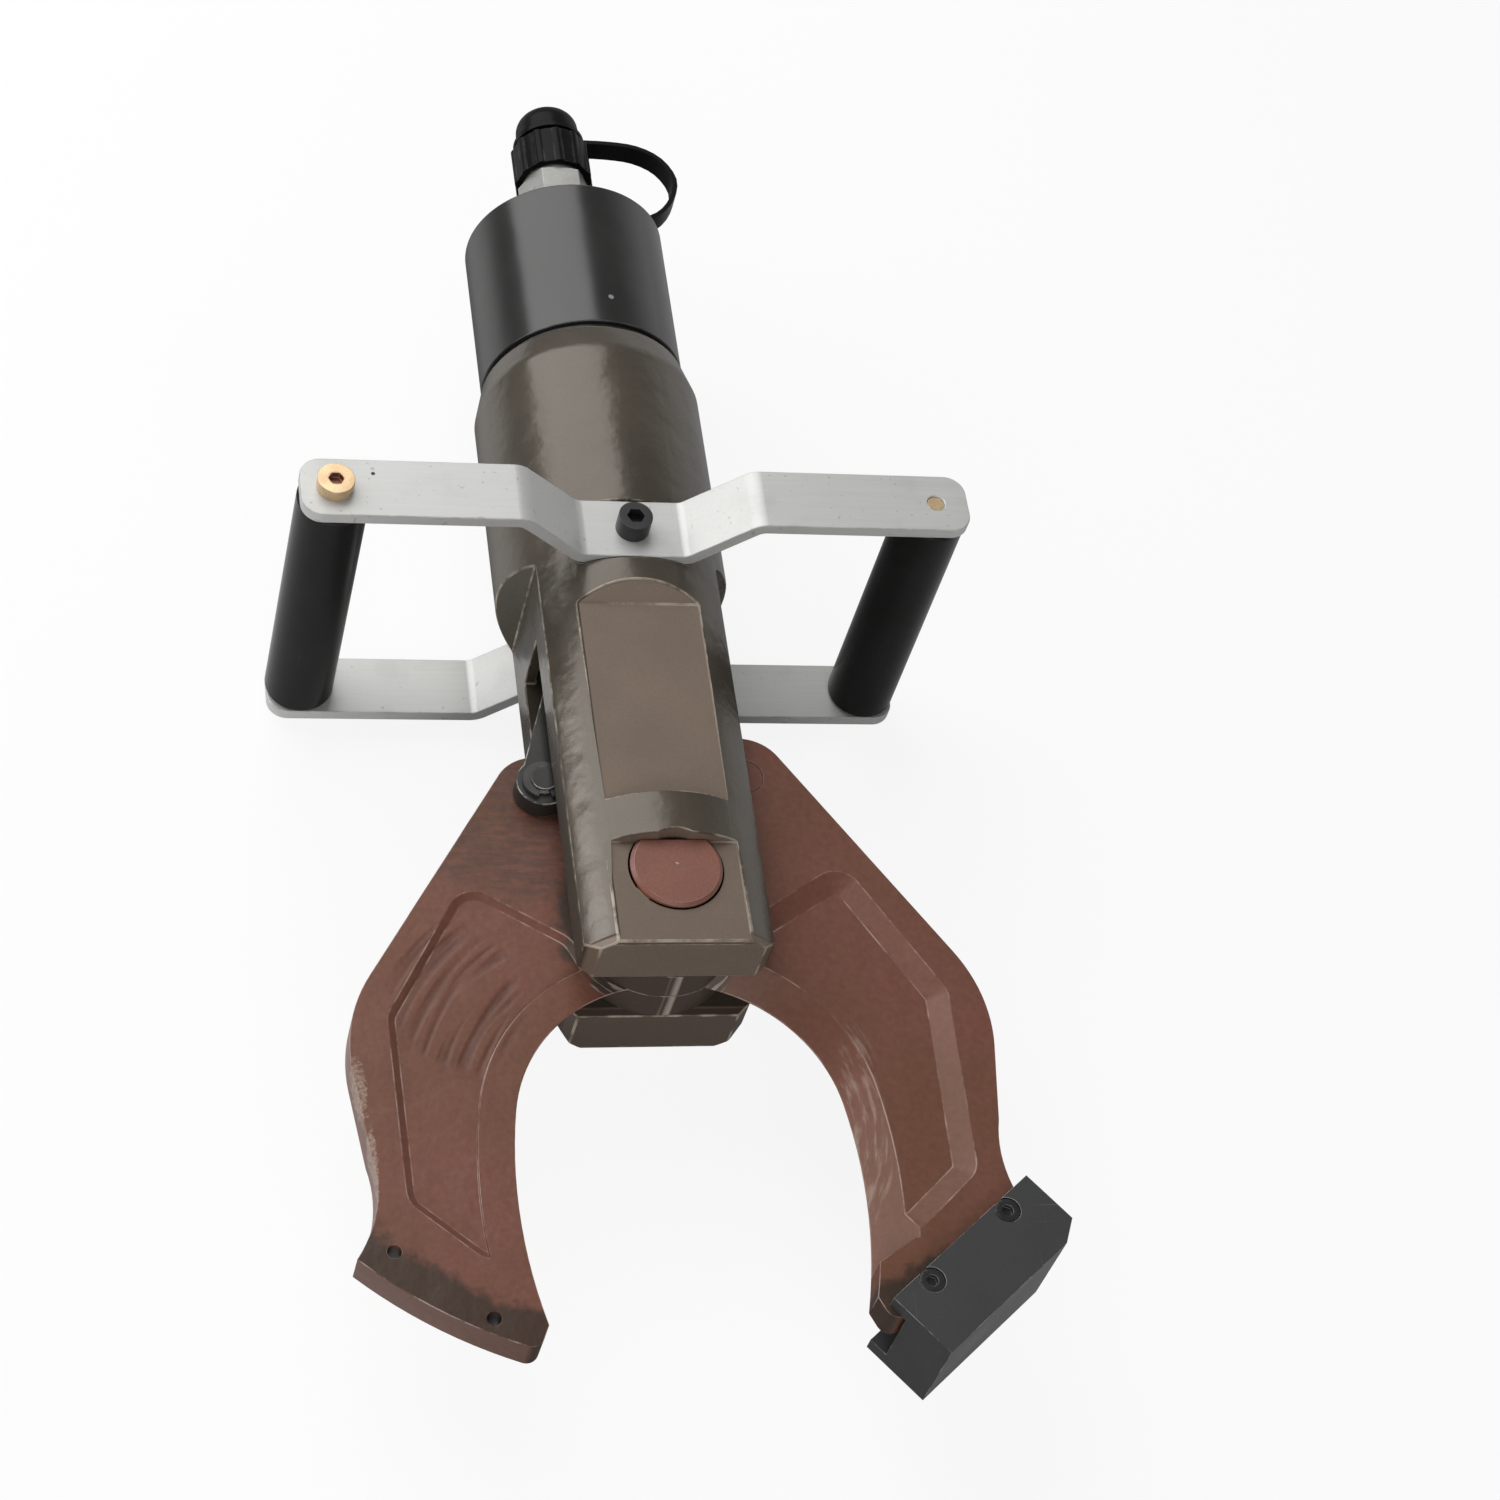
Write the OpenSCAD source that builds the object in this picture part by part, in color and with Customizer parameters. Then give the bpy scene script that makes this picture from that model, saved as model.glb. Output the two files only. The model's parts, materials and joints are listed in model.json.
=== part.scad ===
// Hydraulic cable cutter: a remote cutting head with two jaws, driven by a ram through links.
// +Y runs along the tool from the throat to the hose coupler, +Z is the front face.
// The origin is the centre of the round throat, midway through the tool.

/* [Throat and jaws] */
// Radius of the round throat, half the largest cable
throat_r = 60; // [54:1:66]
// Distance from the top of the throat to the axis of the centre pin
pin_drop = 26; // [25:0.5:28]
// Thickness of each jaw
jaw_t = 13.5; // [12:0.5:16]
// Radius of each jaw's hub round the centre pin
hub_r = 31; // [29:0.5:33]
// Width of each jaw from the throat to its outer shoulder
jaw_band = 58; // [54:1:62]
// Drop from the centre pin down to the outer shoulder
shoulder_drop = 39; // [34:1:44]
// Radius that rounds the outer shoulder
shoulder_round = 60; // [30:1:80]
// Width of each jaw at its waist, above the foot
waist_band = 50; // [46:1:53]
// Drop from the throat's centre down to the waist
waist_drop = 17; // [10:1:22]
// Radius of the hollow that flares the foot out from the waist
flare_r = 50; // [45:1:60]
// Reach of the foot past the throat's centre, to its round end edge
foot_reach = 91.5; // [86:0.5:96]
// Radius of the long arc of the cutting edge, from the round throat to the tip
side_r = 200; // [180:5:260]
// Angle at which the long arc leaves the round throat
side_angle = 9.6; // [8:0.2:12]
// Height of the tip's inner corner above the foot's end
tip_rise = 19.5; // [16:0.5:22]
// Radius that rounds the two corners of the foot
foot_round = 4.5; // [2:0.5:6]
// Rise of the ground bevel for each millimetre of its width
bevel_slope = 0.9; // [0.8:0.05:1.2]
// Width of the flat land left on the cutting edge
edge_land = 0.6; // [0.4:0.1:1]
// Width of the rim round the forged pockets
pocket_rim = 13; // [11:0.5:16]
// Depth of the pocket in the outer face
pocket_deep = 3.5; // [2:0.5:4.5]
// Depth of the relief in the mating face
relief_deep = 1.5; // [1:0.5:2]
// Radius of the tapped holes in each foot
foot_hole_r = 2.5; // [2:0.1:3]
// Distance from the tip's inner corner out to the near tapped hole
near_hole_in = 18.5; // [16:0.5:21]
// Distance between the two tapped holes, across the tool
hole_step_x = 31.7; // [28:0.5:34]

/* [Links and crosshead] */
// Distance from the centre pin to each jaw's link pin
link_arm = 67.3; // [64:0.5:70]
// Angle of the link pin off the tool's axis with the jaws open
arm_angle = 34; // [32:0.5:36]
// Radius of the boss round the link pin
tail_r = 17; // [14:0.5:18]
// Length of each link between its eyes
link_len = 76; // [72:0.5:80]
// Thickness of each link
link_t = 8.4; // [7:0.1:9]
// Width of each link
link_w = 17; // [14:0.5:19]
// Radius of the link pins and the crosshead pins
link_pin_r = 5; // [4:0.5:5.5]
// Distance from the tool's axis to the middle of each upper eye
eye_x = 14; // [13:0.5:15]
// Play round the crosshead pins in the upper eyes
eye_play = 3.1; // [3:0.1:3.3]
// Offset of the crosshead pins outwards from the middle of the eyes
eye_shift_x = 1.5; // [1:0.1:1.7]
// Offset of the crosshead pins along the tool from the middle of the eyes
eye_shift_y = 2.3; // [2:0.1:2.5]
// Thickness of the crosshead's block
block_t = 13; // [10:0.5:18]

/* [Yoke] */
// Radius of the yoke's body
body_r = 45; // [44:0.5:50]
// Reach of the yoke's cheeks below the centre pin
cheek_reach = 31; // [29:0.5:34]
// Depth of the flats milled on the two sides
side_cut = 10; // [9:0.5:12]
// Depth of the long pad milled on the front and the back
pad_cut = 6.8; // [5:0.2:8]
// Depth of the flats round the ends of the centre pin
pin_cut = 7.2; // [6:0.2:8.4]
// Distance from the centre pin up to the ledge above its head
ledge_rise = 11; // [10:0.2:12]
// Distance from the centre pin up to the lower end of the long pad
pad_start = 28.7; // [26:0.5:34]
// Distance from the centre pin up to the upper end of the long pad
pad_end = 116.5; // [108:0.5:120]
// Width of the chamfer on the corners of the cheeks
cheek_chamfer = 5; // [3:0.5:7]
// Distance from the centre pin up to the shoulders above the side flats
side_end = 141; // [130:0.5:143]
// Radius of the centre pin
pin_r = 12.5; // [11:0.5:14]
// Radius of the centre pin's head
pin_head_r = 16.8; // [16:0.2:18]
// Thickness of the centre pin's head
pin_head_t = 6; // [4:0.5:7]
// Height that the head stands proud of its flat
pin_head_proud = 2.1; // [1:0.1:3]

/* [Ram] */
// Travel of the piston
stroke = 60; // [58:0.5:70]
// Radius of the cylinder's bore
bore_r = 31; // [29:0.5:32]
// Outer radius of the cylinder barrel
barrel_r = 40.7; // [40:0.1:42]
// Thickness of the barrel's end wall
end_wall = 15; // [14:0.5:20]
// Height of the piston
piston_h = 20; // [16:0.5:24]
// Room in the barrel below the piston at full travel
bore_spare = 26.3; // [20:0.5:32]
// Length of the threaded joint between the barrel and the yoke
thread_len = 45; // [38:0.5:50]
// Length of the taper below the joint
taper_len = 15; // [10:0.5:20]
// Width of the groove at the joint
seam_w = 2.5; // [1.5:0.1:4]
// Radius of the piston rod
rod_r = 14; // [12:0.5:15]
// Length of the bronze rod bush
bush_len = 24; // [18:0.5:30]
// Mean radius of the return spring's coils
coil_r = 24; // [22:0.5:25]
// Thickness of the return spring's wire
coil_wire = 4.4; // [3.6:0.2:5]

/* [Handles] */
// Distance from the centre pin up to the handle straps
handle_rise = 147; // [140:0.5:150]
// Width of the handle straps
strap_w = 26; // [22:0.5:30]
// Thickness of the handle straps
strap_t = 5; // [4:0.5:6]
// Depth of the cross flats that the straps lie in
seat_cut = 5.4; // [4.4:0.2:6.4]
// Height of the straps' arms above their middle
arm_rise = 20.4; // [14:0.2:28]
// Run of the slanted stretch between the middle and each arm
slant_run = 24; // [18:0.5:30]
// Distance from the tool's axis to each grip's axis
grip_x = 114.6; // [100:0.2:130]
// Radius of the grips
grip_r = 13.4; // [11:0.2:16]
// Distance from a grip's axis to the end of the strap
strap_end = 12.6; // [11:0.2:16]
// Corner radius at the ends of the straps
strap_round = 8; // [4:0.5:10]

/* [Coupler] */
// Width of the hexagon across its flats
hex_flats = 27; // [24:1:30]
// Height of the adapter's hexagon
adapter_h = 10; // [8:0.5:12]
// Height of the coupler's hexagon
coupler_h = 16.5; // [12:0.5:18]
// Radius of the coupler's threaded collar
collar_r = 13.2; // [12.8:0.2:14]
// Height of the threaded collar
collar_h = 17.5; // [14:0.5:22]
// Outer radius of the dust cap's skirt
cap_r = 16.6; // [16.4:0.2:18]
// Thickness of the dust cap over the end of the collar
cap_roof = 2.2; // [1.5:0.1:4]
// Radius of the dust cap's dome
dome_r = 12.7; // [11.5:0.1:13]
// Height of the dome
dome_h = 19; // [16:0.5:24]
// Width of the dust cap's tether
tether_w = 9; // [6:0.5:12]
// Thickness of the dust cap's tether
tether_t = 2; // [1.6:0.1:2.4]

/* [Hidden] */
$fn = 96;

// Clearances
far = 400;
eps = 1;
shaft_gap = 0.03;
cheek_r = 9;
jaw_gap = 0.3;
slot_gap = 0.35;
run_gap = 0.3;
bore_gap = 0.05;

// Heights along the tool, counted from the centre pin
pivot_y = throat_r + pin_drop;
reach = pivot_y + foot_reach;
side_c = [(throat_r - side_r) * cos(side_angle), -pivot_y + (throat_r - side_r) * sin(side_angle)];
tip_y = -reach + tip_rise;
tip_x = side_c[0] + sqrt(pow(side_r, 2) - pow(tip_y - side_c[1], 2));
tip_slant = [4.5, -10];
tail = [link_arm * sin(arm_angle), link_arm * cos(arm_angle)];
eye_y = tail[1] + sqrt(pow(link_len, 2) - pow(tail[0] - eye_x, 2));
cross_x = eye_x + eye_shift_x;
cross_y = eye_y + eye_shift_y;
eye_r = link_pin_r + eye_play;
eye_out = eye_r + 4.4;
block_low = cross_y + eye_out + 3.5;
block_top = block_low + block_t;
wiper_h = 6;
chamber_top = block_top + 1;
bush_low = chamber_top + wiper_h;
spring_seat = bush_low + bush_len;
barrel_low = spring_seat + 15;
seam_y = barrel_low + thread_len;
piston_low = barrel_low + bore_spare + stroke;
piston_top = piston_low + piston_h;
bore_top = piston_top + run_gap;
barrel_top = bore_top + end_wall;

// Jaw layers, mirrored through the tool's axis from the right jaw to the left one
jaw_low = jaw_gap / 2;
jaw_top = jaw_low + jaw_t;
slot_half = jaw_top + slot_gap;
link_low = -run_gap - link_t;
waist = [throat_r + waist_band, -pivot_y - waist_drop];
shoulder = [throat_r + jaw_band, -shoulder_drop];
near_hole_x = tip_x + near_hole_in;
far_hole_x = near_hole_x + hole_step_x;
near_hole_r = reach - 5.6;
far_hole_r = reach - 10.3;
near_hole = [near_hole_x, -sqrt(pow(near_hole_r, 2) - pow(near_hole_x, 2))];
far_hole = [far_hole_x, -sqrt(pow(far_hole_r, 2) - pow(far_hole_x, 2))];

// Yoke faces, with room beside the links as they swing out
link_swing = 4;
side_x = body_r - side_cut;
pad_z = body_r - pad_cut;
pin_z = body_r - pin_cut;
seat_z = body_r - seat_cut;
chamber_x = max(eye_x + eye_out, cross_x + cheek_r) + link_swing;
window_top = cross_y - eye_out - 1.5;
thread_r = barrel_r - 2.8;
bush_r = rod_r + 4;

// Handle straps
seat_half = sqrt(pow(body_r, 2) - pow(seat_z, 2));
mid_half = seat_half - 0.6;
arm_x = mid_half + slant_run;
arm_z = seat_z + arm_rise;
arm_out = arm_z + strap_t;
strap_x = grip_x + strap_end;
bend_r = 5;
screw_r = 4;
bolt_head_r = 6.9;
bolt_head_h = 5;
screw_core = 3.4;
screw_deep = 13;
screw_head_r = 6.5;
screw_head_h = 8;

// Guide channel
guide_half = 36;
guide_in = 4.5;
guide_out = 22.5;
guide_t = 5.8;
guide_gap = 1.5;
guide_screw_r = 3;
guide_head_r = 4.5;

// Coupler
seal_t = 1;
adapter_low = barrel_top + seal_t;
adapter_top = adapter_low + adapter_h;
neck_h = 6.5;
neck_r = 10.5;
hex_low = adapter_top + neck_h;
collar_low = hex_low + coupler_h;
collar_top = collar_low + collar_h;
port_r = 8.3;
port_deep = 12;
flow_r = 5;
cap_low = collar_low + 1.5;
cap_in = collar_r + 0.3;
cap_top = collar_top + run_gap + cap_roof;

function unit(v) = v / norm(v);
function turned(v, a) = [v[0] * cos(a) - v[1] * sin(a), v[0] * sin(a) + v[1] * cos(a)];

// Point where the line from a point touches a circle, on its clockwise side
function touch(p, c, r) =
    let(v = c - p, d = norm(v))
    p + sqrt(d * d - r * r) * unit(turned(v, -asin(r / d)));

// Crossing of two circles, on the clockwise side of the line from the second to the first
function crossing(a, ra, b, rb) =
    let(d = norm(a - b), u = (a - b) / d, k = (rb * rb - ra * ra + d * d) / (2 * d))
    b + k * u + sqrt(rb * rb - k * k) * turned(u, -90);

// Run from a point along a direction until it reaches a circle round the centre pin
function run_to(p, d, r) = -(p * d) + sqrt(pow(p * d, 2) - p * p + r * r);

// Directions and tangent points of a rounded corner
tail_touch = touch(shoulder, tail, tail_r);
dir_up = unit(tail_touch - shoulder);
dir_down = unit(waist - shoulder);
half_turn = acos(dir_up * dir_down) / 2;
round_run = shoulder_round / tan(half_turn);
round_c = shoulder + unit(dir_up + dir_down) * shoulder_round / sin(half_turn);
round_a = shoulder + dir_up * round_run;
round_b = shoulder + dir_down * round_run;
web_lean = asin((hub_r - tail_r) / link_arm);
web_dir = turned(unit(tail), 90 - web_lean);

// Middles of the foot's rounded corners, both inside the round end edge
flare_c = waist + [flare_r, 0];
heel_c = crossing([0, 0], reach - foot_round, flare_c, flare_r + foot_round);
tip_line = unit(tip_slant);
tip_in = [tip_x, tip_y] + foot_round * turned(tip_line, 90);
toe_c = tip_in + tip_line * run_to(tip_in, tip_line, reach - foot_round);

module at_pin() {
    translate([0, pivot_y, 0]) children();
}

module along_y(y = 0) {
    translate([0, pivot_y + y, 0]) rotate([-90, 0, 0]) children();
}

// Turns a piece of the right jaw's side into its twin on the left
module flipped() {
    rotate([0, 180, 0]) children();
}

module both_faces() {
    children();
    mirror([0, 0, 1]) children();
}

module tube(r_out, r_in, h) {
    difference() {
        cylinder(h = h, r = r_out);
        translate([0, 0, -eps]) cylinder(h = h + 2 * eps, r = r_in);
    }
}

// Half plane below the line at which the long arc takes over from the round throat
module below_arc_line() {
    translate([0, -pivot_y]) rotate(side_angle) translate([-far, -far]) square([2 * far, far]);
}

module mouth(grow = 0) {
    translate([0, -pivot_y]) circle(throat_r + grow);
    intersection() {
        translate(side_c) circle(side_r + grow);
        below_arc_line();
    }
}

// Mouth whose wall leans outwards as it rises
module mouth_cone(grow, h, lean) {
    translate([0, -pivot_y, 0]) cylinder(h = h, r1 = throat_r + grow, r2 = throat_r + grow + lean);
    intersection() {
        translate([side_c[0], side_c[1], 0]) cylinder(h = h, r1 = side_r + grow, r2 = side_r + grow + lean, $fn = 192);
        translate([0, 0, -eps]) linear_extrude(h + 2 * eps) below_arc_line();
    }
}

// Corner outside a circle, between the directions in which two edges touch it
module corner_waste(c, r, u, v) {
    difference() {
        polygon([c, c + 3 * r * u, c + 3 * r * unit(u + v), c + 3 * r * v]);
        circle_at(c, r);
    }
}

module circle_at(c, r) {
    translate(c) circle(r);
}

module jaw_outline() {
    difference() {
        intersection() {
            circle(reach, $fn = 192);
            union() {
                polygon([
                    [0, 0], tail_touch, round_a, round_b, waist, waist + [flare_r / 2, 0],
                    waist + [flare_r / 2, -far], [tip_x, tip_y] + 3 * tip_slant + [0, -eps],
                    [tip_x, tip_y], [0, -pivot_y]
                ]);
                intersection() {
                    translate(round_c) circle(shoulder_round);
                    polygon([round_a, shoulder, round_b]);
                }
                translate(tail) circle(tail_r);
                polygon([[0, 0], hub_r * web_dir, tail + tail_r * web_dir, tail]);
            }
        }
        mouth();
        circle_at(flare_c, flare_r);
        corner_waste(heel_c, foot_round, unit(heel_c), unit(flare_c - heel_c));
        corner_waste(toe_c, foot_round, unit(toe_c), turned(tip_line, -90));
    }
    circle(hub_r);
}

// Corners of the pockets, a rim's width inside the outer edges
pocket_bis = unit(dir_up + dir_down);
pocket_b = shoulder + pocket_bis * pocket_rim / sin(half_turn);
pocket_up = 70;
pocket_down = 77;
pocket_top = 42;
pocket_top_angle = 30;
toe_inset = [17, 22];
pocket_a = pocket_b + dir_up * pocket_up;
pocket_c = pocket_b + dir_down * pocket_down;
pocket_d = [tip_x, tip_y] + toe_inset;
pocket_e = pocket_a - pocket_top * [cos(pocket_top_angle), sin(pocket_top_angle)];
pocket_round = 10;
pocket_pull = 1.3 * pocket_round;
pocket_lean = 8;
relief_lean = 3;

// Pocket with leaning walls, opening upwards from a floor at zero
module pocket(h, lean) {
    corners = [pocket_a, pocket_b, pocket_c, pocket_d, pocket_e, [0, -pivot_y]];
    mid = (pocket_a + pocket_c + pocket_e) / 3;
    hull() {
        for (p = corners) {
            q = p + unit(mid - p) * pocket_pull;
            translate([q[0], q[1], 0])
                cylinder(h = h, r1 = pocket_round - lean, r2 = pocket_round, $fn = 32);
        }
    }
}

// Right jaw round the centre pin, its mating face at the bottom
bevel_stop = [12, -4];

module jaw() {
    bevel_h = jaw_t - edge_land;
    difference() {
        union() {
            difference() {
                linear_extrude(jaw_t) jaw_outline();
                difference() {
                    translate([0, 0, edge_land]) mouth_cone(0, bevel_h + eps, (bevel_h + eps) / bevel_slope);
                    translate([0, 0, -eps]) linear_extrude(jaw_t + 4 * eps)
                        polygon([
                            [tip_x, tip_y] - bevel_stop, pocket_d, [far, pocket_d[1]],
                            [far, -far], [tip_x - bevel_stop[0], -far]
                        ]);
                }
                translate([0, 0, jaw_t - pocket_deep]) pocket(pocket_deep + 0.1, pocket_lean);
                difference() {
                    translate([0, 0, relief_deep]) mirror([0, 0, 1]) pocket(relief_deep + 0.1, relief_lean);
                    translate([0, 0, -eps]) linear_extrude(relief_deep + 2 * eps) mouth(pocket_rim);
                }
            }
            cylinder(h = jaw_t, r = hub_r);
        }
        translate([0, 0, -eps]) cylinder(h = jaw_t + 2 * eps, r = pin_r + bore_gap);
        translate([tail[0], tail[1], -eps]) cylinder(h = jaw_t + 2 * eps, r = link_pin_r + shaft_gap);
        translate([tail[0], tail[1], jaw_t - pin_cap_t - 0.2]) cylinder(h = pin_cap_t + eps, r = pin_cap_r + 0.2);
        for (p = [near_hole, far_hole]) {
            translate([p[0], p[1], -eps]) cylinder(h = jaw_t + 2 * eps, r = foot_hole_r);
        }
    }
}

module right_jaw() {
    color([0.43, 0.26, 0.22]) at_pin() translate([0, 0, jaw_low]) jaw();
}

module left_jaw() {
    color([0.45, 0.28, 0.25]) at_pin() flipped() translate([0, 0, jaw_low]) jaw();
}

// Link pin with a flush head in the jaw and a groove for its clip
pin_cap_r = link_pin_r + 2.3;
pin_cap_t = 2.8;
clip_t = 1.6;
clip_low = link_low - run_gap - clip_t;
groove_r = link_pin_r - 0.8;

module link_pin() {
    translate([tail[0], tail[1], 0]) difference() {
        union() {
            translate([0, 0, jaw_top - 0.2 - pin_cap_t]) cylinder(h = pin_cap_t, r = pin_cap_r);
            translate([0, 0, clip_low - 1]) cylinder(h = jaw_top - 0.2 - clip_low + 1, r = link_pin_r);
        }
        translate([0, 0, clip_low - 0.05]) tube(link_pin_r + eps, groove_r, clip_t + 0.1);
    }
}

module link_clip() {
    translate([tail[0], tail[1], clip_low]) rotate(-70)
        rotate_extrude(angle = 320) translate([groove_r + 0.05, 0]) square([3.6, clip_t]);
}

module right_link_pin() {
    color([0.62, 0.62, 0.6]) at_pin() link_pin();
}

module left_link_pin() {
    color([0.62, 0.62, 0.6]) at_pin() flipped() link_pin();
}

module right_link_clip() {
    color([0.25, 0.25, 0.26]) at_pin() link_clip();
}

module left_link_clip() {
    color([0.25, 0.25, 0.26]) at_pin() flipped() link_clip();
}

// Link from the jaw's tail up to the crosshead, with a roomy upper eye
module link() {
    run = [eye_x, eye_y] - tail;
    lean = atan2(-run[0], run[1]);
    translate([tail[0], tail[1], link_low]) rotate(lean) linear_extrude(link_t) difference() {
        union() {
            circle(link_w / 2 + 1.5);
            translate([0, link_len]) circle(eye_out);
            translate([-link_w / 2, 0]) square([link_w, link_len]);
        }
        circle(link_pin_r + bore_gap);
        translate([0, link_len]) circle(eye_r);
    }
}

module right_link() {
    color([0.36, 0.35, 0.33]) at_pin() link();
}

module left_link() {
    color([0.36, 0.35, 0.33]) at_pin() flipped() link();
}

// Crosshead: two cheeks round the links' eyes and a block that the rod screws into
cheek_low = run_gap + link_t + 0.5;
cheek_high = slot_half - 0.6;
stud_r = 8;
stud_len = 9;

module crosshead() {
    color([0.45, 0.45, 0.44]) at_pin() difference() {
        union() {
            both_faces() translate([0, 0, cheek_low]) linear_extrude(cheek_high - cheek_low) {
                for (s = [-1, 1]) {
                    translate([s * cross_x, cross_y]) circle(cheek_r);
                }
                translate([-cross_x - cheek_r, cross_y]) square([2 * (cross_x + cheek_r), block_top - cross_y]);
                translate([-cross_x, cross_y - cheek_r]) square([2 * cross_x, cheek_r]);
            }
            translate([-cross_x - cheek_r, block_low, -cheek_high])
                cube([2 * (cross_x + cheek_r), block_t, 2 * cheek_high]);
        }
        for (s = [-1, 1]) {
            translate([s * cross_x, cross_y, -cheek_high - eps])
                cylinder(h = 2 * (cheek_high + eps), r = link_pin_r + shaft_gap);
        }
        translate([0, block_top - stud_len - 1, 0]) rotate([-90, 0, 0])
            cylinder(h = stud_len + 1 + eps, r = stud_r + shaft_gap);
    }
}

module crosshead_pins() {
    color([0.62, 0.62, 0.6]) at_pin() for (s = [-1, 1]) {
        translate([s * cross_x, cross_y, 0.2 - cheek_high]) cylinder(h = 2 * (cheek_high - 0.2), r = link_pin_r);
    }
}

module piston_rod() {
    color([0.72, 0.72, 0.73]) along_y(block_top) {
        translate([0, 0, -stud_len]) cylinder(h = stud_len + eps, r = stud_r);
        cylinder(h = piston_low - block_top, r = rod_r);
        translate([0, 0, piston_low - block_top - eps]) cylinder(h = piston_h * 0.6 + eps, r = rod_r - 4);
    }
}

// Piston with two grooves
seal_groove_r = bore_r - 4;
wear_groove_r = bore_r - 2.5;
ring_w = 4;

module piston() {
    color([0.55, 0.55, 0.54]) along_y(piston_low) difference() {
        rotate_extrude() polygon([
            [0, 0], [bore_r - 1, 0], [bore_r - bore_gap, 1], [bore_r - bore_gap, 3],
            [wear_groove_r, 3], [wear_groove_r, 3 + ring_w], [bore_r - bore_gap, 3 + ring_w],
            [bore_r - bore_gap, piston_h - 3 - ring_w], [seal_groove_r, piston_h - 3 - ring_w],
            [seal_groove_r, piston_h - 3], [bore_r - bore_gap, piston_h - 3],
            [bore_r - bore_gap, piston_h - 1], [bore_r - 1, piston_h], [0, piston_h]
        ]);
        translate([0, 0, -eps]) cylinder(h = piston_h * 0.6 + eps + 0.3, r = rod_r - 4 + shaft_gap);
    }
}

module piston_seal() {
    color([0.1, 0.1, 0.12]) along_y(piston_low + piston_h - 3 - ring_w + 0.1)
        tube(bore_r - 0.02, seal_groove_r + 0.05, ring_w - 0.2);
}

module piston_wear_ring() {
    color([0.75, 0.68, 0.5]) along_y(piston_low + 3 + 0.1) tube(bore_r - 0.02, wear_groove_r + 0.05, ring_w - 0.2);
}

// Barrel screwed into the yoke, with its port at the far end
o_ring_t = 1.75;
ring_groove = o_ring_t + 0.25;
o_ring_y = barrel_low + 7;
end_chamfer = 1.5;

module cylinder_barrel() {
    color([0.17, 0.17, 0.17]) along_y() difference() {
        rotate_extrude() polygon([
            [bore_r, barrel_low], [thread_r, barrel_low], [thread_r, o_ring_y - ring_groove],
            [thread_r - 2 * o_ring_t, o_ring_y - ring_groove], [thread_r - 2 * o_ring_t, o_ring_y + ring_groove],
            [thread_r, o_ring_y + ring_groove],
            [thread_r, seam_y], [barrel_r - 2, seam_y], [barrel_r - 2, seam_y + seam_w],
            [barrel_r, seam_y + seam_w + 0.6], [barrel_r, barrel_top - end_chamfer],
            [barrel_r - end_chamfer, barrel_top], [0, barrel_top], [0, bore_top], [bore_r, bore_top]
        ]);
        translate([0, 0, bore_top - eps]) cylinder(h = end_wall + 2 * eps, r = flow_r);
        translate([0, 0, barrel_top - port_deep]) cylinder(h = port_deep + eps, r = port_r + shaft_gap);
    }
}

module barrel_o_ring() {
    color([0.08, 0.08, 0.08]) along_y(o_ring_y)
        rotate_extrude() translate([thread_r - o_ring_t + 0.05, 0]) circle(o_ring_t - 0.05, $fn = 24);
}

// Yoke: a round body, forked below, bored above for the barrel, spring and rod
module yoke_body() {
    color([0.44, 0.4, 0.35]) difference() {
        along_y() rotate_extrude() polygon([
            [0, -cheek_reach], [body_r, -cheek_reach], [body_r, seam_y - taper_len], [barrel_r + 0.3, seam_y],
            [thread_r + 0.1, seam_y], [thread_r + 0.1, barrel_low - 0.3], [bore_r, barrel_low - 0.3],
            [bore_r, spring_seat], [bush_r + shaft_gap, spring_seat], [bush_r + shaft_gap, chamber_top + 1],
            [rod_r + 1, chamber_top + 1], [rod_r + 1, chamber_top], [0, chamber_top]
        ]);
        at_pin() {
            translate([-far / 2, -cheek_reach - eps, -slot_half])
                cube([far, cheek_reach + window_top + eps, 2 * slot_half]);
            translate([-chamber_x, window_top - eps, -slot_half])
                cube([2 * chamber_x, chamber_top - window_top + 2 * eps, 2 * slot_half]);
            side_flats();
            cheek_corners();
            both_faces() {
                face_cuts();
                translate([0, handle_rise, seat_z - screw_deep - 2]) cylinder(h = screw_deep + 3, r = screw_core);
            }
            translate([0, 0, -far / 2]) cylinder(h = far, r = pin_r + shaft_gap);
            translate([0, 0, -far - pin_z]) cylinder(h = far, r = pin_head_r + 0.4);
            translate([0, 0, pin_z + pin_head_proud - pin_head_t]) linear_extrude(far) pin_head_2d(0.15);
        }
    }
}

module side_flats() {
    for (s = [0, 1]) {
        mirror([s, 0, 0]) translate([0, 0, -far / 2]) linear_extrude(far) polygon([
            [side_x, -cheek_reach - eps], [side_x, side_end], [body_r + eps, side_end + side_cut * 0.7],
            [body_r + 2 * eps, -cheek_reach - eps]
        ]);
    }
}

module cheek_corners() {
    for (s = [0, 1]) {
        mirror([s, 0, 0]) translate([side_x, -cheek_reach, -far / 2]) linear_extrude(far) polygon([
            [-cheek_chamfer - eps, -eps], [eps, cheek_chamfer + eps], [eps, -eps]
        ]);
    }
}

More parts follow.
